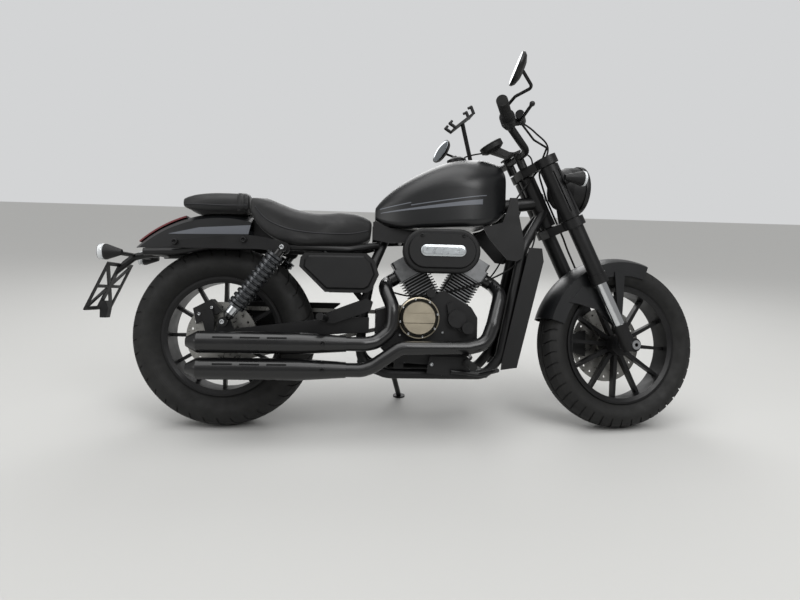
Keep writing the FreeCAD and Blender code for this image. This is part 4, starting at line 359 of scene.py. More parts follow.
def cylinder_metal(name, lean):
    """Cast cylinder: black barrel with machined, bright fin edges, under a bare bead-blasted head whose
    grey metal is a little cloudy."""
    made, tree, shader, coords = material(name, "#1b1b1d", 0.0, 0.5)
    x, y, z = local_coords(tree, coords, vee(lean))
    # Height of the head's foot over the crankshaft, and the reach at which a fin's edge is machined
    head_foot, fin_edge = 216, 54.2
    head = add(tree, "ShaderNodeMath", {0: z, 1: head_foot}, operation="GREATER_THAN").outputs[0]
    reach = [add(tree, "ShaderNodeMath", {0: way}, operation="ABSOLUTE").outputs[0] for way in (x, y)]
    widest = add(tree, "ShaderNodeMath", {0: reach[0], 1: reach[1]}, operation="MAXIMUM").outputs[0]
    edge = add(tree, "ShaderNodeMath", {0: widest, 1: fin_edge}, operation="GREATER_THAN").outputs[0]
    bright = add(tree, "ShaderNodeMath", {0: head, 1: edge}, operation="MAXIMUM").outputs[0]
    noise = add(tree, "ShaderNodeTexNoise", {"Vector": coords, "Scale": 1 / (18 * MM), "Detail": 4.0})
    metal = layered(tree, "#6d6e70", (noise.outputs["Fac"], "#9c9d9e"))
    tree.links.new(layered(tree, "#0f0f10", (bright, metal)), shader.inputs["Base Color"])
    tree.links.new(bright, shader.inputs["Metallic"])
    patchy(tree, coords, 18, 0.38, 0.52, shader.inputs["Roughness"])
    grain(tree, shader, coords, 1.0, 0.5, 0.08)
    return made


def off_axis(tree, ways, middle):
    """Distance of two coordinate sockets from a middle: the root of their squares' sum."""
    parts = []
    for way, spot in zip(ways, middle):
        off = add(tree, "ShaderNodeMath", {0: way, 1: spot}, operation="SUBTRACT").outputs[0]
        parts.append(add(tree, "ShaderNodeMath", {0: off, 1: off}, operation="MULTIPLY").outputs[0])
    total = add(tree, "ShaderNodeMath", {0: parts[0], 1: parts[1]}, operation="ADD").outputs[0]
    return add(tree, "ShaderNodeMath", {0: total}, operation="SQRT").outputs[0]


def between(tree, value, low, high):
    """1 where a value lies between two others."""
    over = add(tree, "ShaderNodeMath", {0: value, 1: low}, operation="GREATER_THAN").outputs[0]
    under = add(tree, "ShaderNodeMath", {0: value, 1: high}, operation="LESS_THAN").outputs[0]
    return add(tree, "ShaderNodeMath", {0: over, 1: under}, operation="MULTIPLY").outputs[0]


def champagne_cover():
    """Champagne anodised aluminium disc with a black groove, in a dark ring with a bright edge: a soft
    metal gleam under a fine blasted grain."""
    made, tree, shader, coords = material("anodised_aluminium", colours().cover, 0.85, 0.36)
    x, _, z = local_coords(tree, coords, UPRIGHT)
    out = off_axis(tree, (x, z), CLUTCH)
    # Height range of the groove, radius of the disc and radii of the bright edge
    groove, disc_radius, edge = (371.2, 372.9), 55, (65, 69)
    disc = layered(tree, colours().cover, (between(tree, z, *groove), "#121212"))
    ring = layered(tree, "#24231f", (between(tree, out, *edge), colours().cover))
    in_ring = add(tree, "ShaderNodeMath", {0: out, 1: disc_radius}, operation="GREATER_THAN").outputs[0]
    tree.links.new(layered(tree, disc, (in_ring, ring)), shader.inputs["Base Color"])
    grain(tree, shader, coords, 0.6, 0.2, 0.03)
    patchy(tree, coords, 30, 0.3, 0.42, shader.inputs["Roughness"])
    return made


def exhaust_black():
    """Heat-resistant black baked on the exhaust: smooth satin that takes long soft highlights."""
    made, tree, shader, coords = material(
        "heat_resistant_black", "#0a0a0b", 0.0, 0.3, **{"Coat Weight": 0.4, "Coat Roughness": 0.12}
    )
    patchy(tree, coords, 90, 0.26, 0.38, shader.inputs["Roughness"])
    grain(tree, shader, coords, 2.4, 0.15, 0.04)
    return made


def shock_metal():
    """Chromed damper inside a black-chromed spring, between satin black ends: bright glints on each coil."""
    made, tree, shader, coords = material(
        "shock_steel", "#0c0c0d", 0.0, 0.34, **{"Coat Weight": 0.6, "Coat Roughness": 0.08}
    )
    foot_x, foot_z = SHOCK_FOOT
    lean = math.atan2(SHOCK_TOP[0] - foot_x, SHOCK_TOP[1] - foot_z)
    along = UPRIGHT @ Matrix.Translation((foot_x, 0, foot_z)) @ Matrix.Rotation(lean, 4, "Y")
    # Distance of a shock from the motorcycle's middle, radius of its damper, and its spring's start and end
    apart, damper_radius, spring = 146, 21, (34, 276)
    x, y, z = local_coords(tree, coords, along)
    side = add(tree, "ShaderNodeMath", {0: y}, operation="ABSOLUTE").outputs[0]
    out = off_axis(tree, (x, side), (0, apart))
    inside = add(tree, "ShaderNodeMath", {0: out, 1: damper_radius}, operation="LESS_THAN").outputs[0]
    middle = between(tree, z, *spring)
    damper = add(tree, "ShaderNodeMath", {0: inside, 1: middle}, operation="MULTIPLY").outputs[0]
    wire = add(tree, "ShaderNodeMath", {0: middle, 1: 0.7}, operation="MULTIPLY").outputs[0]
    shown = layered(tree, "#0c0c0d", (middle, "#3c3e41"), (damper, "#c3c6c9"))
    tree.links.new(shown, shader.inputs["Base Color"])
    metal = add(tree, "ShaderNodeMath", {0: wire, 1: damper}, operation="MAXIMUM").outputs[0]
    tree.links.new(metal, shader.inputs["Metallic"])
    patchy(tree, coords, 25, 0.16, 0.34, shader.inputs["Roughness"])
    return made


def badge_metal():
    """Brushed aluminium plate: pale metal, slightly cloudy under its clear lacquer."""
    made, tree, shader, coords = material("brushed_aluminium", "#c3c8cb", 1.0, 0.3)
    grain(tree, shader, coords, 0.5, 0.3, 0.02)
    patchy(tree, coords, 14, 0.24, 0.38, shader.inputs["Roughness"])
    return made


def chrome():
    """Hard chrome plate: a mirror with the faint haze of handling."""
    made, tree, shader, coords = material("chrome_plate", "#cfd1d3", 1.0, 0.08)
    patchy(tree, coords, 25, 0.05, 0.14, shader.inputs["Roughness"])
    return made


def ground_steel():
    """Ground stainless steel: a fine roughness from the belt blurs the reflections."""
    made, tree, shader, coords = material("ground_stainless_steel", "#9b9a96", 1.0, 0.3)
    grain(tree, shader, coords, 0.7, 0.35, 0.03)
    patchy(tree, coords, 12, 0.24, 0.4, shader.inputs["Roughness"])
    return made


def zinc_bolt():
    """Zinc-plated steel: bright grey with a slightly milky shine."""
    made, tree, shader, coords = material("zinc_plated_steel", "#b4b6b8", 1.0, 0.28)
    patchy(tree, coords, 3, 0.2, 0.38, shader.inputs["Roughness"])
    return made


def black_bolt():
    """Black-oxide steel: dark, oily and a little shiny."""
    made, tree, shader, coords = material("black_oxide_steel", "#1c1c1d", 0.6, 0.34)
    patchy(tree, coords, 3, 0.28, 0.42, shader.inputs["Roughness"])
    return made


def wheel_black():
    """Black enamel sprayed on cast wheels: smooth satin with a faint waviness."""
    made, tree, shader, coords = material("wheel_enamel", "#060607", 0.0, 0.38)
    grain(tree, shader, coords, 3.0, 0.12, 0.05)
    patchy(tree, coords, 40, 0.34, 0.46, shader.inputs["Roughness"])
    return made


def tyre_rubber():
    """Vulcanised rubber: near black with dusty grey patches and the mould's fine texture."""
    made, tree, shader, coords = material("vulcanised_rubber", "#121212", 0.0, 0.72)
    grain(tree, shader, coords, 1.4, 0.5, 0.15)
    tinted(tree, shader, coords, 45, "#0e0e0e", "#1a1a19")
    patchy(tree, coords, 30, 0.62, 0.82, shader.inputs["Roughness"])
    return made


def soft_rubber():
    """Moulded grip rubber: matte, with fine pits about 2 mm apart."""
    made, tree, shader, coords = material("moulded_rubber", "#0e0e0e", 0.0, 0.78)
    cells = add(tree, "ShaderNodeTexVoronoi", {"Vector": coords, "Scale": 1 / (2.2 * MM)})
    bump = {"Height": cells.outputs["Distance"], "Strength": 0.5, "Distance": 0.5 * MM}
    tree.links.new(add(tree, "ShaderNodeBump", bump).outputs[0], shader.inputs["Normal"])
    patchy(tree, coords, 20, 0.7, 0.86, shader.inputs["Roughness"])
    return made


def moulded_plastic():
    """Black ABS from an etched mould: matte with a leather-like fine grain."""
    made, tree, shader, coords = material("moulded_abs", "#0e0e0f", 0.0, 0.55)
    cells = add(tree, "ShaderNodeTexVoronoi", {"Vector": coords, "Scale": 1 / (0.9 * MM)})
    bump = {"Height": cells.outputs["Distance"], "Strength": 0.25, "Distance": 0.08 * MM}
    tree.links.new(add(tree, "ShaderNodeBump", bump).outputs[0], shader.inputs["Normal"])
    patchy(tree, coords, 50, 0.46, 0.62, shader.inputs["Roughness"])
    tinted(tree, shader, coords, 60, "#070708", "#0d0d0e")
    return made


def leather():
    """Coated vinyl leather: pebbled cells about 2 mm across, larger than the real ones so that they show,
    with a soft sheen."""
    made, tree, shader, coords = material(
        "pebbled_vinyl", colours().leather, 0.0, 0.5, **{"Sheen Weight": 0.12, "Sheen Roughness": 0.5}
    )
    cells = add(tree, "ShaderNodeTexVoronoi", {"Vector": coords, "Scale": 1 / (2.0 * MM), "Randomness": 0.9})
    fine = add(tree, "ShaderNodeTexNoise", {"Vector": coords, "Scale": 1 / (7 * MM), "Detail": 5.0})
    heights = {0: cells.outputs["Distance"], 1: fine.outputs["Fac"]}
    height = add(tree, "ShaderNodeMath", heights, operation="ADD").outputs[0]
    bump = {"Height": height, "Strength": 0.35, "Distance": 0.3 * MM}
    tree.links.new(add(tree, "ShaderNodeBump", bump).outputs[0], shader.inputs["Normal"])
    patchy(tree, coords, 40, 0.42, 0.58, shader.inputs["Roughness"])
    tinted(tree, shader, coords, 70, "#0a0a0b", colours().leather)
    return made


def local_coords(tree, coords, matrix):
    """Object coordinates turned to a matrix's own axes, in millimetres, split to X, Y, Z."""
    back = matrix.inverted()
    mapping = add(tree, "ShaderNodeMapping", {
        "Vector": coords, "Location": back.translation, "Rotation": back.to_3x3().normalized().to_euler(),
        "Scale": (1 / MM, 1 / MM, 1 / MM),
    })
    split = add(tree, "ShaderNodeSeparateXYZ", {0: mapping.outputs[0]})
    return [split.outputs[i] for i in range(3)]


def above(tree, x, z, start, end):
    """Signed height of z over the line from start (x, z) to end (x, z)."""
    slope = (end[1] - start[1]) / (end[0] - start[0])
    at_zero = start[1] - slope * start[0]
    line = add(tree, "ShaderNodeMath", {0: x, 1: slope, 2: at_zero}, operation="MULTIPLY_ADD").outputs[0]
    return add(tree, "ShaderNodeMath", {0: z, 1: line}, operation="SUBTRACT").outputs[0]


def band(tree, x, z, low, high, first, last):
    """1 between two lines, each ((x, z), (x, z)), and between two x places: the least distance inside the
    four edges, turned to a share that goes from 0 to 1 over the half millimetre at an edge."""
    over_high = above(tree, x, z, *high)
    parts = [
        add(tree, "ShaderNodeMath", {0: over_high, 1: -1.0}, operation="MULTIPLY").outputs[0],
        add(tree, "ShaderNodeMath", {0: x, 1: first}, operation="SUBTRACT").outputs[0],
        add(tree, "ShaderNodeMath", {0: last, 1: x}, operation="SUBTRACT").outputs[0],
    ]
    inside = above(tree, x, z, *low)
    for part in parts:
        inside = add(tree, "ShaderNodeMath", {0: inside, 1: part}, operation="MINIMUM").outputs[0]
    edge = {0: inside, 1: 2.0, 2: 0.5}
    return add(tree, "ShaderNodeMath", edge, operation="MULTIPLY_ADD", use_clamp=True).outputs[0]


def paint(name, bands):
    """Satin car paint on steel: charcoal with fine flakes and grey stripes, under a thin clear coat."""
    made, tree, shader, coords = material(
        name, colours().paint, 0.0, 0.36, **{"Coat Weight": 0.25, "Coat Roughness": 0.3}
    )
    flakes = add(tree, "ShaderNodeTexNoise", {"Vector": coords, "Scale": 1 / (0.5 * MM), "Detail": 2.0})
    x, _, z = local_coords(tree, coords, UPRIGHT)
    stripes = [(band(tree, x, z, *edges), colours().stripe) for edges in bands]
    shown = layered(tree, "#0b0c0d", (flakes.outputs["Fac"], colours().paint), *stripes)
    tree.links.new(shown, shader.inputs["Base Color"])
    grain(tree, shader, coords, 2.6, 0.08, 0.04)
    patchy(tree, coords, 120, 0.33, 0.41, shader.inputs["Roughness"])
    return made


def lens(name, colour):
    """Polycarbonate moulded over a lamp's bowl, clear or dyed: a deep colour with ribs and a hard shine."""
    made, tree, shader, coords = material(
        name, colour, 0.0, 0.06, **{"IOR": 1.58, "Coat Weight": 1.0, "Coat Roughness": 0.03}
    )
    ribs = add(tree, "ShaderNodeTexWave", {"Vector": coords, "Scale": 1 / (14 * MM)}, bands_direction="Z")
    bump = {"Height": ribs.outputs["Fac"], "Strength": 0.2, "Distance": 0.6 * MM}
    tree.links.new(add(tree, "ShaderNodeBump", bump).outputs[0], shader.inputs["Normal"])
    return made


def headlamp_glass():
    """Polycarbonate moulded over the headlamp: what shows through it is a dark projector in a bright rim, a
    silvered fluted bowl, a pale light ring and a dark border."""
    made, tree, shader, coords = material(
        "headlamp_polycarbonate", "#b9bdc0", 0.0, 0.06, **{"Coat Weight": 1.0}
    )
    x, y, _ = local_coords(tree, coords, LAMP)
    out = off_axis(tree, (x, y), (0, 0))
    # Inner and outer radii
    projector, rim, bowl, ring, border = (0, 24), (24, 27), (24, 60), (60, 68), (72, 90)
    shown = layered(
        tree, "#7d8286", (between(tree, out, *projector), "#121316"), (between(tree, out, *rim), "#c9cdd0"),
        (between(tree, out, *ring), "#d9dcde"), (between(tree, out, *border), "#1c1d1f"),
    )
    tree.links.new(shown, shader.inputs["Base Color"])
    tree.links.new(between(tree, out, *bowl), shader.inputs["Metallic"])
    flutes = add(tree, "ShaderNodeTexWave", {"Vector": coords, "Scale": 1 / (20 * MM)}, bands_direction="Y")
    bump = {"Height": flutes.outputs["Fac"], "Strength": 0.6, "Distance": 1.2 * MM}
    tree.links.new(add(tree, "ShaderNodeBump", bump).outputs[0], shader.inputs["Normal"])
    return made


def dark_glass():
    """Smoked instrument glass over a dark dial: nearly black with clear reflections."""
    made, tree, shader, coords = material(
        "smoked_glass", "#0b0c0e", 0.0, 0.05, **{"IOR": 1.52, "Coat Weight": 1.0}
    )
    patchy(tree, coords, 30, 0.03, 0.08, shader.inputs["Roughness"])
    return made


def seam_piping():
    """Waxed polyester piping of a seat seam: a dull thread a shade lighter than the leather."""
    made, tree, shader, coords = material("waxed_piping", "#232326", 0.0, 0.6)
    grain(tree, shader, coords, 0.8, 0.6, 0.2)
    return made


def mirror_glass():
    """Glass silvered behind: a mirror with a faint blue tint and a slight haze."""
    made, tree, shader, coords = material("mirror_glass", "#8d959b", 1.0, 0.03)
    patchy(tree, coords, 40, 0.02, 0.06, shader.inputs["Roughness"])
    return made


FINISHES = {
    "powder": "frame swingarm fork_tubes axle_clamps fork_clamps handlebar risers peg_plates fender_struts "
              "tail_bracket stand_leg passenger_pegs foot_levers levers mirrors front_caliper rear_caliper",
    "engine": "engine_case generator_cover throttle_body",
    "rear_vee": "rear_cylinder",
    "front_vee": "front_cylinder",
    "exhaust": "headers upper_silencer lower_silencer",
    "wheel": "rear_rim front_rim",
    "steel": "rear_disc front_disc rear_sprocket chain",
    "zinc": "front_axle rear_axle",
    "chrome": "stanchions",
    "shock": "shocks",
    "rubber": "grips rider_pegs brake_lines",
    "plastic": "switch_housings meter plate_holder radiator_shroud rear_signals front_signals radiator "
               "side_covers frame_covers phone_holder headlamp air_cleaner",
    "cover": "clutch_cover",
    "tank": "fuel_tank front_fender",
    "fender": "rear_fender",
    "black_bolt": "filler_cap",
    "red": "tail_lamp",
    "leather": "rider_seat passenger_seat",
    "tyre": "rear_tyre front_tyre",
}
# Stripe bands: lower line, upper line, first x, last x, on the upright motorcycle
TANK_BANDS = (
    (((529, 742), (860, 775)), ((529, 744), (883, 795)), 529, 872),
    (((526, 755), (625, 775)), ((526, 758), (625, 778)), 526, 630),
    (((642, 769), (886, 806)), ((642, 772), (886, 809)), 630, 886),
)
FENDER_BANDS = (
    (((-174, 652), (-75, 654)), ((-174, 653), (-75, 676)), -174, -75),
    (((-75, 654), (111, 658)), ((-75, 676), (111, 689)), -75, 111),
)

MAKERS = {
    "powder": powder_coat,
    "engine": machine_paint,
    "rear_vee": lambda: cylinder_metal("rear_cylinder_metal", -30),
    "front_vee": lambda: cylinder_metal("front_cylinder_metal", 30),
    "exhaust": exhaust_black,
    "wheel": wheel_black,
    "steel": ground_steel,
    "zinc": zinc_bolt,
    "black_bolt": black_bolt,
    "chrome": chrome,
    "shock": shock_metal,
    "badge": badge_metal,
    "cover": champagne_cover,
    "rubber": soft_rubber,
    "tyre": tyre_rubber,
    "plastic": moulded_plastic,
    "tank": lambda: paint("striped_tank_paint", TANK_BANDS),
    "fender": lambda: paint("striped_fender_paint", FENDER_BANDS),
    "leather": leather,
    "piping": seam_piping,
    "headlamp": headlamp_glass,
    "dark_glass": dark_glass,
    "mirror": mirror_glass,
    "red": lambda: lens("red_polycarbonate", "#5a1218"),
    "clear": lambda: lens("clear_polycarbonate", "#c9ccce"),
}
MADE = {}


def finish_of(kind):
    """The material of a kind of finish, made at its first use."""
    if kind not in MADE:
        MADE[kind] = MAKERS[kind]()
    return MADE[kind]


def dress(thing, kind, body=None):
    """Gives a piece its material, and its body if it isn't a CAD node."""
    thing.data.materials.clear()
    thing.data.materials.append(finish_of(kind))
    if body:
        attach(thing, body)
    return thing


class CRUISER_OT_stage(bpy.types.Operator):
    """Camera on the right side a little over the axles, pale floor and soft studio lamps"""

    bl_idname = "cruiser.stage"
    bl_label = "Stage"

    def execute(self, context):
        camera = bpy.data.cameras.new("camera")
        camera.sensor_width = 36
        camera.lens = 25.69
        eye = bpy.data.objects.new("camera", camera)
        # The camera's own right, view and top, and its place from the rear axle in metres
        right = Vector((0.997669, -0.061402, 0.029771))
        ahead = Vector((0.065444, 0.984525, -0.162568))
        top = Vector((-0.019328, 0.164138, 0.986248))
        from_axle = Vector((0.47317, -1.98367, 0.46484))
        turn = Matrix((right, top, -ahead)).transposed().to_4x4()
        eye.matrix_world = Matrix.Translation(REAR_AXLE + from_axle) @ turn
        context.collection.objects.link(eye)
        context.scene.camera = eye
        # Metres from the middle to the floor's edges
        far = 60
        corners = [(-far, -far, 0), (far, -far, 0), (far, far, 0), (-far, far, 0)]
        floor = build("floor", corners, [(0, 1, 2, 3)])
        made, tree, shader, coords = material("studio_floor", "#b8b8b6", 0.0, 0.85)
        patchy(tree, coords, 400, 0.8, 0.9, shader.inputs["Roughness"])
        floor.data.materials.append(made)
        world = bpy.data.worlds.new("studio")
        world.use_nodes = True
        tree = world.node_tree
        tree.nodes.clear()
        # The camera sees a pale background; the object is lit by a weaker white one
        seen = add(tree, "ShaderNodeLightPath").outputs["Is Camera Ray"]
        lit = add(tree, "ShaderNodeBackground", {"Color": (1, 1, 1, 1), "Strength": 0.34}).outputs[0]
        pale = add(tree, "ShaderNodeBackground", {"Color": linear("#d3d4d5"), "Strength": 1.0}).outputs[0]
        mix = add(tree, "ShaderNodeMixShader", {0: seen, 1: lit, 2: pale})
        add(tree, "ShaderNodeOutputWorld", {"Surface": mix.outputs[0]})
        context.scene.world = world
        context.scene.view_settings.view_transform = "Standard"
        # Soft boxes: name, place and size in metres, watts; each faces the engine
        engine = Vector((0, 0, 0.5))
        for name, spot, side, watts in (
            ("key", (1.6, -3.2, 3.4), 2.4, 90), ("fill", (-3.2, -2.4, 2.2), 2.6, 40),
            ("rim", (0.3, 3.2, 3.0), 3.0, 80), ("top", (0, 0, 4.2), 3.0, 30),
        ):
            lamp = bpy.data.lights.new(name, "AREA")
            lamp.energy, lamp.size = watts, side
            thing = bpy.data.objects.new(name, lamp)
            thing.location = spot
            thing.rotation_euler = (engine - Vector(spot)).to_track_quat("-Z", "Y").to_euler()
            context.collection.objects.link(thing)
        # Wide soft light from above, which reaches the floor's far end as well
        lamp = bpy.data.lights.new("sky", "SUN")
        lamp.energy, lamp.angle = 1.6, math.radians(60)
        thing = bpy.data.objects.new("sky", lamp)
        thing.rotation_euler = (math.radians(14), math.radians(-10), 0)
        context.collection.objects.link(thing)
        return {"FINISHED"}


class CRUISER_OT_finishes(bpy.types.Operator):
    """A finish for every carried-over piece"""

    bl_idname = "cruiser.finishes"
    bl_label = "Finishes"

    def execute(self, context):
        for kind, names in FINISHES.items():
            for name in names.split():
                dress(frame["nodes"][name], kind)
        for name, thing in frame["nodes"].items():
            if not thing.data.materials:
                raise RuntimeError(name + " has no finish")
        return {"FINISHED"}


def section(half, crown_drop, tread_half, bead, radius, groove):
    """Rows (y, radius, share of the tread's depth cut away, 1 on the tread) of a tyre's outside, from bead to
    bead. The crown is an arc of a circle that falls by crown_drop from the middle to tread_half. The wall is
    a straight run from there to the bead plus a half wave of a sine. A groove runs round at the distance
    groove from the middle on each side."""
    bead_y, bead_r = bead
    # Rows on the wall, outside the groove and inside it, and how full the wall stands out
    wall_rows, outer_rows, inner_rows, fullness = 15, 9, 4, 1.12
    side = np.linspace(0, 1, wall_rows)
    bulge = (half - (tread_half + bead_y) / 2) * fullness
    wall = tread_half + (bead_y - tread_half) * side + bulge * np.sin(np.pi * side)
    wall_r = radius - crown_drop + (bead_r - radius + crown_drop) * side
    # Half width of the groove, and distances of the two rows beside it
    half_groove, lip, beside = 2, 2.9, 3
    outer = np.append(np.linspace(tread_half, groove + beside, outer_rows), groove + lip)
    cut = np.array([groove + half_groove, groove - half_groove])
    inner = np.insert(np.linspace(groove - beside, 0, inner_rows), 0, groove - lip)
    tread = np.concatenate([outer, cut, inner])
    arc = (tread_half**2 + crown_drop**2) / (2 * crown_drop)
    tread_r = radius - arc + np.sqrt(arc**2 - tread**2)
    share = np.concatenate([np.zeros(len(outer)), np.ones(len(cut)), np.zeros(len(inner))])
    plain = np.zeros(wall_rows)
    rows = np.concatenate([
        np.stack([wall[::-1], wall_r[::-1], plain, plain], -1)[:-1],
        np.stack([tread, tread_r, share, np.ones(len(tread))], -1),
    ])
    other_side = rows[-2::-1] * np.array([-1, 1, 1, 1])
    return np.concatenate([rows, other_side])


def tyre(name, node, body, matrix, radius, half, bead, pitches, shoulder, slant):
    """Tyre skin: x = r cos a, y, z = r sin a for the section's rows (y, r), sunk where a groove runs. Each
    pitch round has one slanted groove whose walls follow the columns, because a column's angle shifts with
    its distance from the middle. Shoulder is the reach from which a groove goes on past the tread."""
    depth = sizes().tread_depth
    bead_y, bead_r = bead
    # Height of the whole section, from the bead's hidden seat on
    height = radius - bead_r + 14
    # Fall of the crown, half width of the tread and place of the groove that runs round
    crown_drop, tread_half, middle_groove = height * 0.15, half * 0.8, half * 0.24
    rows = section(half, crown_drop, tread_half, bead, radius, middle_groove)
    # The skin goes on between the rim's flanges, inset from the bead and deeper than it, and closes there
    inset, deeper = 6, 16
    seat = [[y, bead_r - deeper, 0, 0] for y in (inset - bead_y, bead_y - inset)]
    y, r, cut, on_tread = np.concatenate([rows, seat]).T
    pitch = 2 * np.pi / pitches
    # Angles of a groove's half width and of its sloping walls, and of a pitch's columns from the groove
    half_groove, slope = 2.75 / radius, 0.0015
    groove = [-half_groove - slope, -half_groove, half_groove, half_groove + slope]
    offsets = np.array([-0.5 * pitch, -0.3 * pitch, -0.12 * pitch, *groove, 0.12 * pitch, 0.3 * pitch])
    in_groove = np.array([0, 0, 0, 0, 1, 1, 0, 0, 0])
    angle = (np.arange(pitches)[:, None] * pitch + offsets).ravel()
    lateral = np.tile(in_groove, pitches)
    reach = np.abs(y)
    # Grooves start beside the middle, run over the shoulder and fade out on the wall
    start, wall_end, fade_end, fade_run = half * 0.34, radius - 34, radius - 38, 14
    past_start = reach > start
    grooved = (on_tread > 0) | (reach > shoulder) & (r > wall_end)
    fade = np.clip((r - fade_end) / fade_run, 0, 1)
    sunk = depth * np.maximum(cut[None, :], lateral[:, None] * (past_start * grooved * fade)[None, :])
    # A groove is straight near the middle and slants from there on, opposite ways on the two sides
    slant_from, slant_run, side = half * 0.2, half * 0.7, np.sign(y + 1e-9)
    shift = slant * np.clip(reach - slant_from, 0, slant_run) / radius * side
    turn = angle[:, None] + shift[None, :]
    out = r[None, :] - sunk
    points = np.stack([out * np.cos(turn), np.broadcast_to(y, turn.shape), out * np.sin(turn)], -1)
    faces = grid_faces(*turn.shape, round_rows=True, round_columns=True)[:, ::-1]
    thing = build(name, place(matrix, points.reshape(-1, 3)), faces, smooth=False)
    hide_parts(node)
    return dress(thing, "tyre", body)


class CRUISER_OT_tyres(bpy.types.Operator):
    """Tyres with their moulded tread"""

    bl_idname = "cruiser.tyres"
    bl_label = "Tyres"

    def execute(self, context):
        # The pairs are the reach and the radius of each bead
        tyre(
            "rear_tread", "rear_tyre", "rear_wheel", REAR_WHEEL, REAR_RADIUS, REAR_HALF_WIDTH,
            (51, 206), sizes().rear_pitches, shoulder=40, slant=0.7,
        )
        tyre(
            "front_tread", "front_tyre", "front_wheel", FRONT_WHEEL, FRONT_RADIUS, FRONT_HALF_WIDTH,
            (38, 214), sizes().front_pitches, shoulder=30, slant=0.5,
        )
        return {"FINISHED"}


# Metres between the points of a remeshed pad, and below which points of a solid are one
VOXEL, WELD = 0.006, 0.0001
SWELL_FRAMES = 20


def swell(thing, cap):
    """Air pressure in a cloth cover puffs the pad; no point moves more than cap metres."""
    start = np.empty(len(thing.data.vertices) * 3, np.float32)
    thing.data.vertices.foreach_get("co", start)
    cloth = thing.modifiers.new("cloth", "CLOTH")
    cloth.settings.use_pressure = True
    cloth.settings.uniform_pressure_force = 4
    cloth.settings.effector_weights.gravity = 0
    cloth.settings.tension_stiffness = 30
    cloth.settings.quality = 5
    cloth.point_cache.frame_end = SWELL_FRAMES
    for number in range(1, SWELL_FRAMES + 1):
        bpy.context.scene.frame_set(number)
    view = thing.evaluated_get(bpy.context.evaluated_depsgraph_get())
    end = np.empty_like(start)
    view.data.vertices.foreach_get("co", end)
    thing.modifiers.remove(cloth)
    move = evened(thing, (end - start).reshape(-1, 3), rounds=60)
    length = np.linalg.norm(move, axis=1)[:, None]
    move *= np.minimum(1, cap / np.maximum(length, 1e-9))
    thing.data.vertices.foreach_set("co", (start.reshape(-1, 3) + move).ravel())
    bpy.context.scene.frame_set(1)


def evened(thing, move, rounds):
    """Moves of a piece's points, averaged with their neighbours' in each round, as the foam under the cover
    keeps it from creasing."""
    edges = np.empty(len(thing.data.edges) * 2, np.int32)
    thing.data.edges.foreach_get("vertices", edges)
    one, two = edges.reshape(-1, 2).T
    neighbours = np.bincount(edges, minlength=len(move))[:, None]
    for _ in range(rounds):
        total = np.zeros_like(move)
        np.add.at(total, one, move[two])
        np.add.at(total, two, move[one])
        move = (move + total / neighbours) / 2
    return move


def soft_copy(name, node):
    """The node's own solid, merged, remeshed into even cells and smoothed."""
    thing = frame["nodes"][node].copy()
    thing.data = thing.data.copy()
    thing.name = name
    bpy.context.collection.objects.link(thing)
    weld = thing.modifiers.new("weld", "WELD")
    weld.merge_threshold = WELD
    remesh = thing.modifiers.new("remesh", "REMESH")
    remesh.mode, remesh.voxel_size = "VOXEL", VOXEL
    smooth = thing.modifiers.new("smooth", "SMOOTH")
    smooth.iterations, smooth.factor = 6, 0.5
    graph = bpy.context.evaluated_depsgraph_get()
    mesh = bpy.data.meshes.new_from_object(thing.evaluated_get(graph))
    thing.modifiers.clear()
    thing.data = mesh
    return thing


# Side seams as (x, z) on the upright motorcycle, and the radius of their piping
RIDER_SEAM = ((112, 748), (140, 715), (172, 694), (216, 677), (260, 669), (305, 665), (350, 664), (400, 666),
              (440, 670), (488, 682))
PASSENGER_SEAM = ((-126, 753), (-96, 752), (-48, 751), (0, 750), (44, 751), (84, 752))
PIPING_RADIUS = 2
# Grab strap: middle (x, z) of the lines that meet the pad all round it, width and thickness
STRAP_MIDDLE, STRAP_WIDTH, STRAP_THICKNESS = (62, 755), 24, 2
# Pan under the seat: outline as (x, z), anticlockwise from its low front corner, half width and rounding
PAN_OUTLINE = ((196, 646), (196, 660), (176, 672), (136, 700), (112, 716), (98, 718), (98, 646))
PAN_HALF_WIDTH, PAN_ROUNDING = 62, 3


def trim_line(name, thing, seam, way):
    """Piping that lies on a pad along the seam's places, found on it along the way in from that side."""
    spots = on_side(*seam)
    line = on_surface(thing, UPRIGHT, spots, [way] * len(spots), lift=0.9)
    made = build(name, *hose(line, PIPING_RADIUS, UPRIGHT, steps=90, sides=8))
    return dress(made, "piping", "chassis")


def strap(thing):
    """Grab strap over the passenger's pad: a band of three rows of points on it, cast from all round its
    middle line, with its thickness added."""
    x, z = STRAP_MIDDLE
    angles = np.radians(np.linspace(-12, 192, 40))
    ways = [(0, math.cos(angle), math.sin(angle)) for angle in angles] * 3
    spots = [(x + ahead, 0, z) for ahead in (-STRAP_WIDTH / 2, 0, STRAP_WIDTH / 2) for _ in angles]
    points = on_surface(thing, UPRIGHT, spots, ways, lift=1.2)
    made = build("grab_strap", place(UPRIGHT, points), grid_faces(3, len(angles)))
    thick = made.modifiers.new("thickness", "SOLIDIFY")
    thick.thickness, thick.offset = STRAP_THICKNESS * MM, 0
    return dress(made, "leather", "chassis")


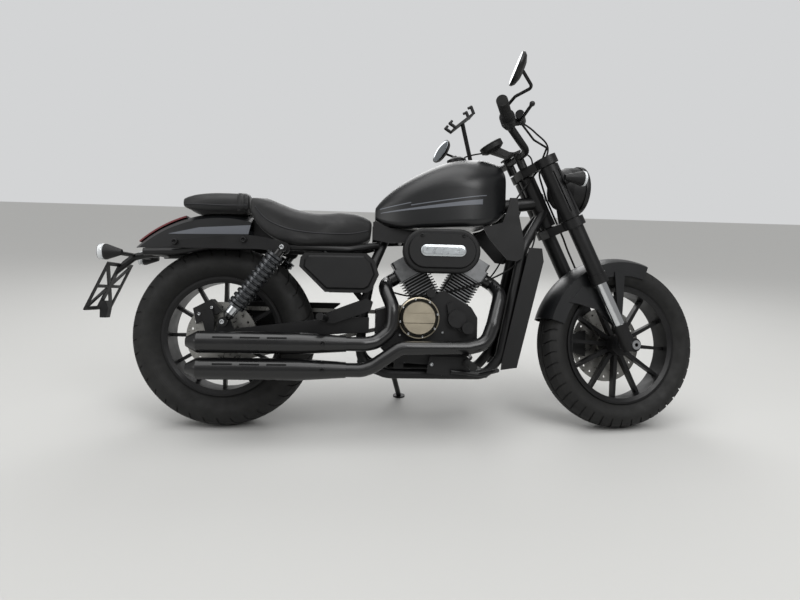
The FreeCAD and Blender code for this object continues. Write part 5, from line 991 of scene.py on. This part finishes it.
def seat_pan():
    """Black pan that closes the space between the fender's front end and the seat."""
    outline = np.array(PAN_OUTLINE, float)
    middle = outline.mean(axis=0)
    levels = [(0, -PAN_HALF_WIDTH), (1, -PAN_HALF_WIDTH), (1, PAN_HALF_WIDTH), (0, PAN_HALF_WIDTH)]
    across = UPRIGHT @ Matrix.Rotation(math.pi / 2, 4, "X")
    mesh = plate(lambda size: middle + (outline - middle) * size, levels, across)
    made = build("seat_pan", *mesh, smooth=False)
    soft = made.modifiers.new("soft edges", "BEVEL")
    soft.width, soft.segments = PAN_ROUNDING * MM, 3
    return dress(made, "plastic", "chassis")


class CRUISER_OT_seats(bpy.types.Operator):
    """Padded rider's and passenger's seats, with their piping, the grab strap and the pan under them"""

    bl_idname = "cruiser.seats"
    bl_label = "Seats"

    def execute(self, context):
        for name, node, seam in (
            ("rider_pad", "rider_seat", RIDER_SEAM), ("passenger_pad", "passenger_seat", PASSENGER_SEAM)
        ):
            thing = soft_copy(name, node)
            swell(thing, sizes().seat_swell * MM)
            thing.data.polygons.foreach_set("use_smooth", np.full(len(thing.data.polygons), True))
            trim_line(f"{name}_seam_right", thing, seam, RIGHT)
            trim_line(f"{name}_seam_left", thing, seam, LEFTWARD)
            if name == "passenger_pad":
                strap(thing)
            finer = thing.modifiers.new("finer", "SUBSURF")
            finer.levels = finer.render_levels = 1
            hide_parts(node)
            dress(thing, "leather", "chassis")
        seat_pan()
        return {"FINISHED"}


def body_of(node):
    """Body that carries a CAD node."""
    bodies = frame["record"]["behaviour"]["bodies"]
    return next(body for body, members in bodies.items() if node in members)


# Radius and height of a socket screw's head, from the middle of its round hole to its foot under the surface,
# as shares of its radius
SCREW_HEAD = ((0, 0.25), (0.5, 0.25), (0.55, 0.9), (0.85, 1.0), (1.0, 0.8), (1.0, -0.3), (0, -0.3))


def bolt_array(name, spots, way, radius, matrix, kind, body):
    """Socket screws at many spots: one turned head, repeated on each spot and facing the way."""
    facing = Vector((0, 0, 1)).rotation_difference(Vector(way)).to_matrix().to_4x4()
    one, faces = lathe(np.array(SCREW_HEAD) * radius, facing, count=12)
    points = (np.array(spots, float)[:, None] + one[None]).reshape(-1, 3)
    all_faces = (np.arange(len(spots))[:, None, None] * len(one) + faces[None]).reshape(-1, 4)
    return dress(build(name, place(matrix, points), all_faces), kind, body)


def circle(middle, radius, count, start):
    """Spots (x, 0, z) evenly round a circle about a place (x, z), from the angle start on."""
    x, z = middle
    a = np.linspace(0, 2 * np.pi, count, endpoint=False) + start
    return [(x + radius * np.cos(t), 0, z + radius * np.sin(t)) for t in a]


def fastener_rows():
    """Rows of name, node, frame, way out, head radius, finish, spots."""
    case = on_side((600, 330), (640, 306), (700, 306), (744, 340))
    struts = on_side((-142, 623), (79, 635))
    shocks = on_side(SHOCK_TOP, SHOCK_FOOT)
    pegs = on_side((706, 236), (800, 210))
    return (
        ("clutch_screws", "clutch_cover", UPRIGHT, RIGHT, 3.5, "zinc", circle(CLUTCH, 63.5, 8, 0.2)),
        ("case_screws", "engine_case", UPRIGHT, RIGHT, 4, "zinc", case),
        ("generator_screws", "generator_cover", UPRIGHT, LEFTWARD, 4, "black_bolt",
         circle(CRANKSHAFT, 72, 8, 0.3)),
        ("cleaner_screws", "air_cleaner", UPRIGHT, RIGHT, 5.5, "black_bolt", on_side((665, 662), (803, 664))),
        ("right_strut_bolts", "fender_struts", UPRIGHT, RIGHT, 10, "black_bolt", struts),
        ("left_strut_bolts", "fender_struts", UPRIGHT, LEFTWARD, 10, "black_bolt", struts),
        ("right_shock_bolts", "shocks", UPRIGHT, RIGHT, 8, "zinc", shocks),
        ("left_shock_bolts", "shocks", UPRIGHT, LEFTWARD, 8, "zinc", shocks),
        ("upper_silencer_bolt", "upper_silencer", UPRIGHT, RIGHT, 8, "black_bolt", on_side((350, 306))),
        ("lower_silencer_bolt", "lower_silencer", UPRIGHT, RIGHT, 8, "black_bolt", on_side((350, 222))),
        ("right_peg_bolts", "peg_plates", UPRIGHT, RIGHT, 6, "zinc", pegs),
        ("left_peg_bolts", "peg_plates", UPRIGHT, LEFTWARD, 6, "zinc", pegs),
        ("front_disc_bolts", "front_disc", FRONT_WHEEL, LEFTWARD, 4.5, "black_bolt",
         circle(AXLE, 60, 5, 0.3)),
        ("rear_disc_bolts", "rear_disc", REAR_WHEEL, RIGHT, 4.5, "black_bolt", circle(AXLE, 50, 5, 0.3)),
        ("sprocket_nuts", "rear_sprocket", REAR_WHEEL, LEFTWARD, 6, "zinc", circle(AXLE, 46, 5, 0.2)),
        ("front_caliper_pins", "front_caliper", FRONT_WHEEL, LEFTWARD, 5, "zinc",
         on_side((-95, 78), (-118, 34))),
        ("rear_caliper_pins", "rear_caliper", REAR_WHEEL, RIGHT, 5, "zinc", on_side((-27, 99), (-68, 77))),
    )


class CRUISER_OT_fasteners(bpy.types.Operator):
    """Screws on covers, discs, struts and silencers"""

    bl_idname = "cruiser.fasteners"
    bl_label = "Fasteners"

    def execute(self, context):
        for name, node, matrix, way, radius, kind, spots in fastener_rows():
            thing = frame["nodes"][node]
            found = on_surface(thing, matrix, spots, [way] * len(spots))
            bolt_array(name, found, way, radius, matrix, kind, body_of(node))
        return {"FINISHED"}


def turned(name, profile, matrix, kind, body, count=64, ring=False):
    """A piece turned from a profile of (radius, height), in its finish."""
    return dress(build(name, *lathe(profile, matrix, count, ring)), kind, body)


def dome(radius, low, edge, high):
    """Profile of a glass: a shallow dome from high in the middle to edge, then a rim down to low."""
    angles = np.linspace(0, np.pi / 2, 10)
    curve = [(radius * math.sin(a), edge + (high - edge) * math.cos(a)) for a in angles]
    return [*curve, (radius, low), (radius * 0.9, low), (0, low)]


# Bezels as (radius, height), clockwise round their section
HEADLAMP_RING = ((77.5, 50), (78, 51.8), (86, 51.5), (87, 49), (87, 36), (86.3, 34))
METER_RING = ((36.2, 13.6), (36.4, 15.4), (39.5, 15.9), (42.2, 14.4), (42.4, 10))
# Mirror's face from its middle over its rounded edge, and its height as a share of its width
MIRROR_FACE, MIRROR_SHAPE = ((0, 0.9), (30, 0.9), (53, 0.8), (54.5, 0.4), (54, -1), (0, -1)), 98 / 118
# Radius of a signal's lens
SIGNAL_RADIUS = 25.3


# Distance from the badge's middle to the centres of its round ends
BADGE_REACH = 56


def badge_outline(size):
    """Outline with round ends: two half circles with radius size, joined by straight sides."""
    a = np.linspace(0, 2 * np.pi, 64, endpoint=False)
    reach = BADGE_REACH * np.sign(np.cos(a))
    return np.stack([reach * (size > 0) + size * np.cos(a), size * np.sin(a)], -1)


class CRUISER_OT_lamps(bpy.types.Operator):
    """Lenses of the headlamp and signals, the meter's glass and the mirrors' faces"""

    bl_idname = "cruiser.lamps"
    bl_label = "Lamps and glass"

    def execute(self, context):
        # A turned piece's own axis is Z: these turns bring it ahead or back
        ahead, back = Matrix.Rotation(math.pi / 2, 4, "Y"), Matrix.Rotation(-math.pi / 2, 4, "Y")
        turned("headlamp_lens", dome(77, 50, 53, 60), LAMP, "headlamp", "fork")
        turned("headlamp_ring", HEADLAMP_RING, LAMP, "powder", "fork", ring=True)
        for side, word in ((-1, "right"), (1, "left")):
            front = STRAIGHT @ Matrix.Translation((1160, side * 152, 862)) @ ahead
            lens_shape = dome(SIGNAL_RADIUS, 27, 35, 43)
            turned(f"front_{word}_lens", lens_shape, front, "clear", "fork", count=40)
            rear = UPRIGHT @ Matrix.Translation((-330, side * 164, 582)) @ back
            lens_shape = dome(SIGNAL_RADIUS, 14, 28, 36)
            turned(f"rear_{word}_lens", lens_shape, rear, "clear", "chassis", count=40)
            # Each face looks back, turned in and tipped up to the rider's eyes
            turn_in = Matrix.Rotation(math.radians(15 * side), 4, "Z")
            tip_up = Matrix.Rotation(math.radians(46), 4, "Y")
            shape = Matrix.Diagonal((1, 1, MIRROR_SHAPE, 1))
            mirror = FORK @ Matrix.Translation((-97, side * 378, 1273)) @ turn_in @ tip_up @ shape @ back
            turned(f"mirror_{word}_glass", MIRROR_FACE, mirror, "mirror", "fork")
        meter = FORK @ Matrix.Translation((-73, 0, 1144)) @ Matrix.Rotation(math.radians(-5), 4, "Y")
        turned("meter_glass", dome(36, 13.5, 14.4, 16), meter, "dark_glass", "fork")
        turned("meter_ring", METER_RING, meter, "powder", "fork", ring=True)
        badge = UPRIGHT @ Matrix.Translation((736, 0, 613)) @ Matrix.Rotation(math.pi / 2, 4, "X")
        # Half width and height of each outline, from the foot over a small bevel to the top's middle
        levels = ((0, 166.9), (19, 166.9), (19, 170.4), (18.2, 171.2), (9.5, 171.2), (0, 171.2))
        dress(build("cleaner_badge", *plate(badge_outline, levels, badge)), "badge", "chassis")
        return {"FINISHED"}


class CRUISER_OT_cables(bpy.types.Operator):
    """Throttle and clutch cables from the bars, and the sensor cable along the engine"""

    bl_idname = "cruiser.cables"
    bl_label = "Cables"

    def execute(self, context):
        along_engine = [
            (1076, -64, 698), (1053, -66, 625), (974, -68, 557), (877, -68, 511), (747, -66, 474),
            (640, -64, 462), (577, -60, 472),
        ]
        made = build("engine_cable", *hose(along_engine, sizes().cable_radius, UPRIGHT, steps=80, sides=10))
        dress(made, "rubber", "chassis")
        to_fork = FORK.inverted() @ UPRIGHT
        # Name, spots on the fork from the bar on, then spots on the upright motorcycle
        for name, on_fork, on_frame in (
            ("throttle_cable", [(-128, -262, 1176), (-70, -200, 1180), (40, -110, 1120), (80, -62, 1040)],
             [(1010, -30, 812), (960, -34, 740), (880, -32, 690), (800, -30, 640)]),
            ("clutch_cable", [(-128, 262, 1176), (-70, 200, 1180), (40, 110, 1120), (82, 60, 1040)],
             [(1020, 40, 700), (990, 60, 610), (930, 80, 520), (820, 96, 470), (700, 108, 440)]),
        ):
            line = on_fork + [tuple(to_fork @ Vector(spot)) for spot in on_frame]
            made = build(name, *hose(line, sizes().cable_radius, FORK, steps=120, sides=10))
            dress(made, "rubber")
            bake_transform(made)
        return {"FINISHED"}


OPERATORS = (
    CRUISER_OT_stage, CRUISER_OT_finishes, CRUISER_OT_tyres, CRUISER_OT_seats, CRUISER_OT_fasteners,
    CRUISER_OT_lamps, CRUISER_OT_cables,
)


class CRUISER_PT_panel(bpy.types.Panel):
    """Lists the steps in order"""

    bl_label = "Cruiser motorcycle"
    bl_space_type = "VIEW_3D"
    bl_region_type = "UI"
    bl_category = "Cruiser"

    def draw(self, context):
        for group in (sizes(), colours()):
            for name in group.__annotations__:
                self.layout.prop(group, name)
        for kind in OPERATORS:
            self.layout.operator(kind.bl_idname)


CLASSES = (CruiserSizes, CruiserColours, *OPERATORS, CRUISER_PT_panel)


def register():
    for kind in CLASSES:
        bpy.utils.register_class(kind)
    bpy.types.Scene.cruiser_sizes = bpy.props.PointerProperty(type=CruiserSizes)
    bpy.types.Scene.cruiser_colours = bpy.props.PointerProperty(type=CruiserColours)


def unregister():
    del bpy.types.Scene.cruiser_colours
    del bpy.types.Scene.cruiser_sizes
    for kind in reversed(CLASSES):
        bpy.utils.unregister_class(kind)


def main():
    register()
    for kind in OPERATORS:
        group, name = kind.bl_idname.split(".")
        getattr(getattr(bpy.ops, group), name)()


if __name__ == "__main__":
    main()
